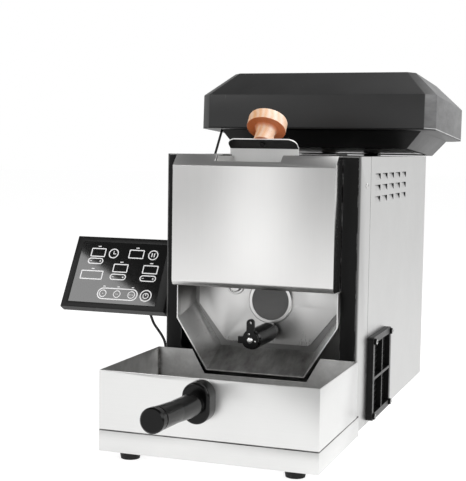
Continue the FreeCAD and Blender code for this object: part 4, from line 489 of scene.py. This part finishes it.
def edges(start):
    """1 where a piece that lies square has a rounded edge."""
    facing = start.node("VectorMath", {"operation": "ABSOLUTE"}, _0=start.node("TexCoord").other("Normal"))
    sides = start.node("SeparateXYZ", Vector=facing)
    largest = start.math("MAXIMUM", start.math("MAXIMUM", sides, sides.other("Y")), sides.other("Z"))
    return 1 - largest.step(0.90, 0.98)


def rim(start, place):
    """1 along the hood's lower rim."""
    sides = start.node("SeparateXYZ", Vector=place)
    return 1 - (sides.other("Z") + sides.other("Y")*HOOD_PROP - hood_rim).step(*RIM_FADES)


print("the hood's rim is", round(hood_rim/MM), "mm up at the middle of the frame")

# %% Coat with powder
PEBBLE, SCRATCHES, STREAKS = 0.03, (260.0, 260.0, 30.0), (22.0, 22.0, 90.0)


def powder(slot, dark, rough, scuffs=0.0, worn=0.0, right_light_and_wear=0.0, bare=0.0, shine=0.42):
    """A powder coat: how dark and rough, its scratches, worn edges, paler right side of wear and painted
    light, bare rim and shine.
    """
    start, sockets = finish(slot)
    place = here(start)
    pebble = place.noise(900.0, 2.0, 0.5)
    dust_and_sheen = place.noise(24.0, 4.0, 0.6)
    scratch = place.scaled(*SCRATCHES).noise(1.0, 4.0, 0.7).step(0.68, 0.74)*scuffs
    streaks = place.scaled(*STREAKS).noise(1.0, 5.0, 0.7)
    rightward = facing_of(start).step(0.3, 0.75)
    # Faces that look right are painted paler in streaks: partly wear, partly painted light from the side.
    lit_side_and_wear = rightward*(streaks*1.2 + 0.1)*right_light_and_wear
    chipped = edges(start)*place.noise(70.0, 4.0, 0.7).step(0.42, 0.60)*worn
    bared = rim(start, place)*rightward*(streaks*0.8 + 0.4)*bare
    tone = (dust_and_sheen - 0.5)*0.35*dark + dark + scratch + lit_side_and_wear + chipped + bared
    coat(start, sockets, Base_Color=start.node("CombineColor", Red=tone, Green=tone, Blue=tone*1.01),
         Roughness=(dust_and_sheen - 0.5)*0.12 + rough, Specular_IOR_Level=shine,
         Normal=relief(start, pebble, PEBBLE, 0.5))
    print(slot, "coated")


powder("hood_paint", 0.024, 0.46, scuffs=0.03, right_light_and_wear=0.17, bare=0.7)
powder("skirt_paint", 0.006, 0.42, right_light_and_wear=0.07, shine=0.25)
powder("black_paint", 0.004, 0.50, worn=0.2, shine=0.18)
powder("motor_grey", 0.22, 0.5)

# %% [markdown]
# ### Moulded things
# The grips are bakelite: hard, nearly black, polished by hands, with a clear shine over a faint mottle. The
# switch, fan and panel are ABS with a fine spark-eroded texture, the feet are rubber, matt and a little
# dusty, and the cable has a smooth soft jacket. The outward face of the fan's guard is painted paler: partly
# dust that the fan blows out, partly painted sheen.

# %% Mould the plastics
def moulded(slot, dark, rough, texture, shine=0.3, dust_and_sheen=0.0):
    """A dark plastic or rubber with a fine texture of so many mm, a shine, and a paler tone on what faces
    right, partly grime and partly painted sheen.
    """
    start, sockets = finish(slot)
    place = here(start)
    grain = place.noise(1400.0, 2.0, 0.5)
    cloud = place.noise(45.0, 3.0, 0.6)
    # What faces right is paler: partly dust, partly painted sheen.
    tone = (cloud - 0.5)*0.6*dark + dark + facing_of(start).step(0.90, 0.99)*cloud*dust_and_sheen
    coat(start, sockets, Base_Color=start.node("CombineColor", Red=tone, Green=tone*0.99, Blue=tone*0.98),
         Roughness=(cloud - 0.5)*0.10 + rough, Specular_IOR_Level=shine,
         Normal=relief(start, grain, texture, 0.4))
    print(slot, "moulded")


moulded("bakelite", 0.002, 0.22, 0.004, shine=0.22)
moulded("black_plastic", 0.006, 0.38, 0.02)
moulded("guard_plastic", 0.003, 0.42, 0.02, shine=0.22, dust_and_sheen=0.12)
moulded("panel_plastic", 0.006, 0.42, 0.02, shine=0.22)
moulded("foot_rubber", 0.016, 0.65, 0.03)
moulded("cable_rubber", 0.012, 0.45, 0.01)

# %% [markdown]
# ### Glass
# The window in the door is borosilicate that years of smoke have tinted from behind, so it is flat and grey
# with a clear polished face. The touch panel is a black-backed pane: nothing shows in it but its own gloss.

# %% Polish the glass
start, sockets = finish("window_glass")
tint = here(start).noise(60.0, 3.0, 0.6)
coat(start, sockets, Base_Color=tint.mix((0.12, 0.12, 0.118), (0.16, 0.158, 0.155)),
     Roughness=(tint - 0.5)*0.1 + 0.16, Specular_IOR_Level=0.5)
start, sockets = finish("panel_black")
smear = here(start).noise(30.0, 3.0, 0.6)
coat(start, sockets, Base_Color=(smear*0.003 + 0.004).mix((0, 0, 0), (1, 1, 1)), Roughness=smear*0.05 + 0.03,
     Specular_IOR_Level=0.55)
print("glass ready")

# %% [markdown]
# ### Maple
# The knob is turned from one block, so its rings are slices through a tree whose heart lies outside the knob:
# the distance from that heart, bent by noise, makes the rings, and the wood is redder near the heart. Pores
# drawn out along the heart make the fine dark ticks. A thin oil finish leaves it nearly matt. The cap's
# underside, which looks down, is painted darker and redder as shade. The knob leans with the gate's lip, and
# its wood with it.

# %% Find how the knob lies
LIP_SLOPE = math.radians(36)
HEART_AT = Vector((-35, 10, -30))*MM
knob_low, knob_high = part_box("wood_knob")
knob_up = Vector((0, math.sin(LIP_SLOPE), math.cos(LIP_SLOPE)))
heart = (knob_low + knob_high)/2 + HEART_AT
print("the heart of the tree lies", round(HEART_AT.length/MM), "mm from the knob's middle")

# %% Grow the wood
RING_WIDE, HEARTWOOD_FADES, UNDERSIDE_SHADE_FADES = 6.0415*MM, (20*MM, 52*MM), (-0.75, -0.15)
ALONG_HEART, PORES = (1.0, 1.0, 0.12), (1500.0, 1500.0, 90.0)
PALE_WOOD, RING_WOOD = (0.98, 0.82, 0.70), (0.88, 0.44, 0.18)
PORE_WOOD, UNDERSIDE_SHADE_WOOD = (0.50, 0.18, 0.06), (0.66, 0.17, 0.04)
start, sockets = finish("maple")
place = start.node("Mapping", {"vector_type": "POINT"}, Vector=here(start), Rotation=(-LIP_SLOPE, 0, 0),
                   Location=Matrix.Rotation(-LIP_SLOPE, 3, "X") @ -heart)
wander = place.noise(28.0, 3.0, 0.6)
distance = start.node("VectorMath", {"operation": "LENGTH"}, "Value", _0=place.scaled(*ALONG_HEART))
rings = start.math("SINE", distance*(math.tau/RING_WIDE) + wander*9.0)*0.5 + 0.5
heartwood = 1 - distance.step(*HEARTWOOD_FADES)
pores = place.scaled(*PORES).noise(1.0, 2.0, 0.6).step(0.58, 0.70)
upward = start.node("VectorMath", {"operation": "DOT_PRODUCT"}, "Value",
                    _0=start.node("TexCoord").other("Normal"), _1=knob_up)
# The cap's underside, which looks down along the knob's axis, gets painted shade.
under = 1 - upward.step(*UNDERSIDE_SHADE_FADES)
wood = (rings*0.40 + wander*0.2 + heartwood*0.55).mix(PALE_WOOD, RING_WOOD)
wood = (under*0.92).mix(wood, UNDERSIDE_SHADE_WOOD)
coat(start, sockets, Base_Color=(pores*0.55).mix(wood, PORE_WOOD), Roughness=pores*0.15 + 0.42,
     Coat_Weight=0.12, Coat_Roughness=0.3, Normal=relief(start, 1 - pores, 0.05, 0.5))
print("wood ready, with rings", round(RING_WIDE/MM, 1), "mm wide")

# %% [markdown]
# ## Dress the construction
# The record says which slot each node takes its finish from. Where a sheet's own shape is right, a new finish
# is all that it needs.

# %% Give every node its finish
slot_of = {part["node"]: part["material_slot"] for part in frame["record"]["subparts"]}
look_of = slot_of | {"front_cover": "cover_steel", "top_panel": "top_steel", "side_strips": "strip_steel",
                     "side_panel_left": "side_steel", "side_panel_right": "side_steel",
                     "door_plate": "door_steel", "sampling_port": "door_steel", "feed_gate": "gate_steel",
                     "bean_chute": "chute_steel", "hood_stay": "dark_screws", "knob_screw": "dark_screws",
                     "fan_guard": "guard_plastic"}
for name, look in look_of.items():
    nodes[name].data.materials.clear()
    nodes[name].data.materials.append(finishes[look])
print("dressed", len(look_of), "nodes in", len(finishes), "finishes")

# %% [markdown]
# ## Rounded folds
# Sheet metal is never knife sharp: a fold has a radius of about the sheet's thickness, and a cut edge is
# broken with a file. Those small rounds catch the light in thin bright lines, so they matter more than their
# size says. A copy of the construction's mesh is merged, its flat faces are joined up again, and its sharp
# edges are bevelled. The copy stands for the node, and the node itself is left as it was.

# %% Copy a node, ready for bmesh operators
MERGE, FLAT_ANGLE = 0.002*MM, math.radians(0.5)


def copied(name):
    """A bmesh of a node with its doubles merged and its flat faces joined."""
    shape = bmesh.new()
    shape.from_mesh(nodes[name].data)
    bmesh.ops.remove_doubles(shape, verts=shape.verts, dist=MERGE)
    bmesh.ops.dissolve_limit(shape, angle_limit=FLAT_ANGLE, verts=shape.verts, edges=shape.edges)
    return shape


def piece(name, shape, look, body, smooth=30.0):
    """An object of a bmesh with a finish, which rides on a body."""
    mesh = bpy.data.meshes.new(name)
    shape.to_mesh(mesh)
    shape.free()
    for face in mesh.polygons:
        face.use_smooth = True
    mesh.set_sharp_from_angle(angle=math.radians(smooth))
    mesh.materials.append(finishes[look])
    made = bpy.data.objects.new(name, mesh)
    bpy.context.scene.collection.objects.link(made)
    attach(made, body)
    return made


print("corners nearer than", round(MERGE*1e6), "microns are merged")

# %% Round the sheets and shells that the eye meets first
SHARP_ANGLE, SHORTEST = math.radians(25), 1.2*MM
FOLDS = {"front_cover": 0.9, "cooling_tray": 0.45, "base_pan": 0.5, "bean_chute": 0.35, "hood_shell": 0.7,
         "hood_skirt": 0.6, "panel_housing": 1.2, "front_frame": 0.5, "side_strips": 0.35,
         "side_panel_left": 0.3, "top_panel": 0.35, "door_plate": 0.3, "feed_gate": 0.35, "rear_panel": 0.3}


def rounded(name, radius):
    """Stand a copy of a node in its place, with its sharp edges rounded to a radius in mm."""
    shape = copied(name)
    sharp = [edge for edge in shape.edges if edge.is_manifold and edge.calc_length() > SHORTEST
             and edge.calc_face_angle() > SHARP_ANGLE]
    bmesh.ops.bevel(shape, geom=sharp, offset=radius*MM, offset_type="OFFSET", affect="EDGES", segments=2,
                    profile=0.5, material=-1, clamp_overlap=True)
    made = piece(name + "_rounded", shape, look_of[name], body_of[name])
    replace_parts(made, name)
    print(f"{name}: {len(sharp)} edges rounded to {radius} mm, {len(made.data.polygons)} faces")


for name, radius in FOLDS.items():
    rounded(name, radius)

# %% [markdown]
# ## The panel's cable
# A thin limp cable hangs from the panel's underside and slips behind the tray into the front column. It comes
# straight out of its gland, falls under its own weight, and bends once more to meet the second gland. Its
# points are the construction's own, so the drawn cable lies where the solid one does, and a NURBS spline of
# order three draws one smooth line along them.

# %% Run the cable
CABLE_THICK, CABLE_LONG = 3.0*MM, 77*MM
route = [(-140, 22.76, 123.32), (-140, 28.7, 119.75), (-139.6, 32.9, 113.5), (-137.5, 34.5, 106.2),
         (-132.8, 35.6, 99.6), (-128, 36.5, 93), (-124.8, 37.2, 86.6), (-123.5, 37.6, 80),
         (-123.2, 38, 73.5), (-120.1, 38, 68.1), (-114.7, 38, 65), (-108.5, 38, 65)]
line = bpy.data.curves.new("panel_cable_line", "CURVE")
line.dimensions, line.resolution_u = "3D", 8
line.bevel_depth, line.bevel_resolution, line.use_fill_caps = CABLE_THICK/2, 4, True
spline = line.splines.new("NURBS")
spline.points.add(len(route) - 1)
for point, place in zip(spline.points, route):
    point.co = (*spot(*place), 1)
spline.order_u = 3
spline.use_endpoint_u = True
line.materials.append(finishes["cable_rubber"])
cable = bpy.data.objects.new("panel_cable_line", line)
bpy.context.scene.collection.objects.link(cable)
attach(cable, "casing")
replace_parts(cable, "panel_cable")
print("cable through", len(route), "points,", round(CABLE_LONG/MM), "mm long")

# %% [markdown]
# ## Printed keys
# The touch panel has no moving keys: white ink on the glass, lit a little from behind, frames its readouts
# and key fields. Each mark is a thin flat ring or patch of ink, so one function draws a rounded frame of any
# width, height, corner and stroke. Circles and pills are frames whose corners are as round as they can be,
# and a stroke of 0 fills a frame. The signs in the keys are plain ones: minus and plus, one to three dots, a
# clock's hands, two bars to pause, and a ring with a stroke for power.

# %% Find the glass's own corner and directions
LEAN_BACK, INK_LIFT, FRONT_SLACK = math.radians(31), 0.03*MM, 0.1*MM
outward = Vector((0, -math.cos(LEAN_BACK), math.sin(LEAN_BACK)))
uphill = Vector((0, math.sin(LEAN_BACK), math.cos(LEAN_BACK)))
glass = [corner.co for corner in nodes["panel_glass"].data.vertices]
face_out = max(place.dot(outward) for place in glass)
front = [place for place in glass if place.dot(outward) > face_out - FRONT_SLACK]
glass_left, glass_right = min(place.x for place in front), max(place.x for place in front)
glass_foot, glass_head = min(place.dot(uphill) for place in front), max(place.dot(uphill) for place in front)
on_glass = Matrix((Vector((1, 0, 0)), uphill, outward)).transposed().to_4x4()
on_glass.translation = Vector((glass_left, 0, 0)) + outward*(face_out + INK_LIFT) + uphill*glass_foot
print("glass", round((glass_right - glass_left)/MM, 1), "x", round((glass_head - glass_foot)/MM, 1), "mm")

# %% Draw one mark of ink
ROUNDEST, CORNER_STEPS = 0.498, 8


def frame_of_ink(ink, x, y, wide, tall, corner, stroke):
    """Add a rounded frame, centred at x, y on the glass, to the ink. A stroke of 0 fills it. All in mm."""
    mark = bmesh.new()
    bmesh.ops.create_grid(mark, x_segments=1, y_segments=1, size=0.5)
    bmesh.ops.scale(mark, vec=(wide*MM, tall*MM, 1), verts=mark.verts)
    if corner:
        reach = min(corner, min(wide, tall)*ROUNDEST)*MM
        bmesh.ops.bevel(mark, geom=mark.verts[:], offset=reach, affect="VERTICES", segments=CORNER_STEPS,
                        profile=0.5, material=-1)
    if stroke:
        middle = mark.faces[:]
        bmesh.ops.inset_region(mark, faces=middle, thickness=stroke*MM, use_boundary=True,
                               use_even_offset=True)
        bmesh.ops.delete(mark, geom=middle, context="FACES")
    bmesh.ops.translate(mark, vec=(x*MM, y*MM, 0), verts=mark.verts)
    flat = bpy.data.meshes.new("mark")
    mark.to_mesh(flat)
    mark.free()
    ink.from_mesh(flat)
    bpy.data.meshes.remove(flat)


print("a rounded corner of ink has", CORNER_STEPS, "steps")

# %% Print the whole panel
STROKE, FINE, CHOICE = 1.25, 0.9, 9.0
LABEL, SHORT_LABEL, DOT = (4.0, 1.1, 0.4, 0), (3.2, 1.0, 0.4, 0), (1.0, 1.0, 0.5, 0)
MINUS, PLUS, POWER_MARK = (2.4, 0.7, 0, 0), (0.7, 2.4, 0, 0), (1.0, 3.6, 0.4, 0)
PAUSE_BAR, LONG_HAND, SHORT_HAND = (1.2, 5.0, 0.3, 0), (0.9, 4.0, 0.3, 0), (3.4, 0.9, 0.3, 0)
readouts = [(22.2, 62.4, 18.5, 11.2), (70.1, 62.4, 18.8, 11.2), (20.6, 33.9, 28.0, 11.4),
            (54.5, 43.9, 18.5, 10.8), (91.5, 44.0, 18.7, 10.8)]
clock, pause, power = (41.6, 62.0, 12.4), (90.9, 62.2, 12.4), (93.4, 11.8, 14.4)
steppers = [(21.2, 51.6, 19.6, 7.8), (53.9, 32.9, 20.2, 7.8), (91.0, 32.9, 20.2, 7.8)]
choices, pill = [(40.5, 11.8, CHOICE), (58.0, 11.8, CHOICE), (75.8, 11.8, CHOICE)], (58.5, 11.8, 50.0, 14.4)
ink = bmesh.new()
for x, y, wide, tall in readouts:
    frame_of_ink(ink, x, y, wide, tall, 1.2, STROKE)
    frame_of_ink(ink, x, y + tall/2 + 2.2, *LABEL)
for x, y, across in [clock, pause, power, (*power[:2], power[2]/2)] + choices:
    frame_of_ink(ink, x, y, across, across, across, STROKE if across > CHOICE else FINE)
for x, y, wide, tall in steppers:
    frame_of_ink(ink, x, y, wide, tall, tall, STROKE)
    frame_of_ink(ink, x - wide/2 + tall/2, y, *MINUS)
    frame_of_ink(ink, x + wide/2 - tall/2, y, *MINUS)
    frame_of_ink(ink, x + wide/2 - tall/2, y, *PLUS)
frame_of_ink(ink, *pill, pill[3]/2, STROKE)
for number, (x, y, across) in enumerate(choices):
    frame_of_ink(ink, x, y + across/2 + 4.4, *SHORT_LABEL)
    for dot in range(number + 1):
        frame_of_ink(ink, x + (dot - number/2)*1.7, y, *DOT)
frame_of_ink(ink, power[0], power[1] + 1.8, *POWER_MARK)
for side in (-1.5, 1.5):
    frame_of_ink(ink, pause[0] + side, pause[1], *PAUSE_BAR)
frame_of_ink(ink, clock[0], clock[1] + 1.2, *LONG_HAND)
frame_of_ink(ink, clock[0] + 1.4, clock[1] - 0.5, *SHORT_HAND)
bmesh.ops.transform(ink, matrix=on_glass, verts=ink.verts)
bmesh.ops.recalc_face_normals(ink, faces=ink.faces)
for patch in ink.faces:
    if patch.normal.dot(outward) < 0:
        patch.normal_flip()
print("ink faces:", len(ink.faces))

# %% Lay the ink on the glass
start, sockets = finish("panel_ink")
worn = here(start).noise(120.0, 3.0, 0.6)
coat(start, sockets, Base_Color=worn.mix((0.80, 0.80, 0.81), (0.92, 0.92, 0.92)), Roughness=worn*0.1 + 0.3,
     Emission_Color=worn.mix((0.35, 0.35, 0.35), (0.45, 0.45, 0.45)), Emission_Strength=0.5)
piece("panel_keys", ink, "panel_ink", "casing")
print("the ink lies", round(INK_LIFT/MM, 2), "mm above the glass")

# %% [markdown]
# ## The turned knob
# The knob is gripped round its band, so a turner leaves the band's lower rim crisp and breaks only its upper
# one. The stem swells a little where it meets the cap, and again at its foot. The half profile is written in
# mm from the foot, and is turned about the axis on which the knob and its screw both lie.

# %% Turn a profile
TURNED_STEPS = 64


def turned(profile):
    """A bmesh of a half profile, of radii and heights in mm, turned about Z."""
    shape = bmesh.new()
    line = [shape.verts.new((radius*MM, 0, height*MM)) for radius, height in profile]
    rungs = [shape.edges.new(pair) for pair in zip(line, line[1:])]
    bmesh.ops.spin(shape, geom=line + rungs, cent=(0, 0, 0), axis=(0, 0, 1), angle=math.tau,
                   steps=TURNED_STEPS, use_merge=True)
    bmesh.ops.remove_doubles(shape, verts=shape.verts, dist=0.001*MM)
    bmesh.ops.recalc_face_normals(shape, faces=shape.faces)
    return shape


knob_places = [corner.co for corner in nodes["wood_knob"].data.vertices]
knob_top = max(knob_places, key=lambda place: place.dot(knob_up))
knob_tall = max((knob_top - place).dot(knob_up) for place in knob_places)/MM
knob_wide = max((place - knob_top).cross(knob_up).length for place in knob_places)/MM
print("knob", round(knob_tall, 1), "mm tall and", round(knob_wide*2, 1), "mm across")

# %% Turn the knob
CAP, DOME = 13.0, 3.0
cap_low, cap_high = knob_tall - CAP - DOME, knob_tall - DOME
stem = [(1.7, 0), (11.2, 0), (11.5, 0.6), (10.9, 3), (10.3, 8), (10.4, cap_low - 5), (11.2, cap_low - 1.5)]
band = [(13, cap_low + 0.2), (knob_wide - 1.5, cap_low + 0.5), (knob_wide - 0.4, cap_low),
        (knob_wide, cap_low + 0.4), (knob_wide, cap_high - 1.6), (knob_wide - 0.5, cap_high - 0.4)]
dome = [(knob_wide - 1.8, cap_high + 0.2), (knob_wide*0.7, cap_high + DOME*0.55),
        (knob_wide*0.35, cap_high + DOME*0.9), (0, knob_tall)]
knob = turned(stem + band + dome)
stand = knob_up.to_track_quat("Z", "Y").to_matrix().to_4x4()
stand.translation = knob_top - knob_up*knob_tall*MM
bmesh.ops.transform(knob, matrix=stand, verts=knob.verts)
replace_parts(piece("knob_turned", knob, "maple", "gate", smooth=40), "wood_knob")
print("knob turned through", len(stem + band + dome), "points")

# %% [markdown]
# ## Screw heads
# The construction keeps a screw as a plain stub. Each gets a button head with a hexagon socket, which is what
# the eye finds at such a spot: a bright dome with a dark hole in its middle. One function draws a head ring
# by ring, each a share of its radius and its height. Another finds where the stubs of a node end and which
# way they point: a stub is round, so it lies along the axis across which its box is square.

# %% Draw a head
HEAD_RINGS = ((1.0, 0, 24), (0.97, 0.5, 24), (0.84, 0.86, 24), (0.66, 1.0, 24),
              (0.42, 1.0, 6), (0.42, 0.35, 6))


def button_head(shape, stand, radius, tall):
    """Add a domed head with a hexagon socket to a bmesh, at a matrix, sizes in mm."""
    rings = []
    for wide, height, sides in HEAD_RINGS:
        made = bmesh.ops.create_circle(shape, cap_ends=False, segments=sides, radius=wide*radius*MM,
                                       matrix=stand @ Matrix.Translation((0, 0, height*tall*MM)))
        rings.append(list(dict.fromkeys(edge for corner in made["verts"] for edge in corner.link_edges)))
    for low, high in zip(rings, rings[1:]):
        bmesh.ops.bridge_loops(shape, edges=low + high)
    bmesh.ops.edgeloop_fill(shape, edges=rings[-1])


print("a head has", len(HEAD_RINGS), "rings")

# %% Find the stubs
def islands(shape):
    """The separate solids of a bmesh, each as a list of its corners."""
    known, found = set(), []
    for first in shape.verts:
        if first in known:
            continue
        known.add(first)
        island = [first]
        for corner in island:
            for beside in (edge.other_vert(corner) for edge in corner.link_edges):
                if beside not in known:
                    known.add(beside)
                    island.append(beside)
        found.append(island)
    return found


def stubs(name):
    """For each stub of a node: the middle of its head's underside, its direction, radius and height."""
    shape, found = copied(name), []
    for island in islands(shape):
        places = [corner.co.copy() for corner in island]
        low = Vector([min(place[axis] for place in places) for axis in range(3)])
        high = Vector([max(place[axis] for place in places) for axis in range(3)])
        size, middle = high - low, (low + high)/2
        along = min(range(3), key=lambda axis: abs(size[(axis + 1) % 3] - size[(axis + 2) % 3]))
        one, two = (along + 1) % 3, (along + 2) % 3
        radius = size[one]/2
        outer = [place for place in places
                 if (place - middle)[one]**2 + (place - middle)[two]**2 > (0.95*radius)**2]
        side = 1 if sum((place - middle)[along] for place in outer) > 0 else -1
        direction = Vector([side if axis == along else 0 for axis in range(3)])
        under = min(place.dot(direction) for place in outer)
        top = max(place.dot(direction) for place in places)
        foot = middle + direction*(under - middle.dot(direction))
        found.append((foot, direction, radius/MM, (top - under)/MM))
    shape.free()
    return found


ends_of = {name: stubs(name) for name in ("guard_screws", "casing_screws", "latch_screws")}
print("stubs:", {name: len(ends) for name, ends in ends_of.items()})

# %% Put the heads on
# The guard's screws take the side panels' steel, whose painted shade darkens their flanks.
for name, look, body, wider, taller in (("guard_screws", "side_steel", "casing", 1.2, 2.0),
                                        ("casing_screws", "casing_steel", "casing", 1, 1),
                                        ("latch_screws", "bright_steel", "latch", 1, 1)):
    heads = bmesh.new()
    for foot, direction, radius, tall in ends_of[name]:
        stand = direction.to_track_quat("Z", "Y").to_matrix().to_4x4()
        stand.translation = foot
        button_head(heads, stand, radius*wider, tall*taller)
    bmesh.ops.recalc_face_normals(heads, faces=heads.faces)
    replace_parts(piece(name + "_heads", heads, look, body, smooth=40), name)
    print(name, "heads are", round(radius*wider*2, 1), "mm across and", round(tall*taller, 2), "mm high")

# %% [markdown]
# ## Close the lesson

# %% Finish
print("the machine is dressed")
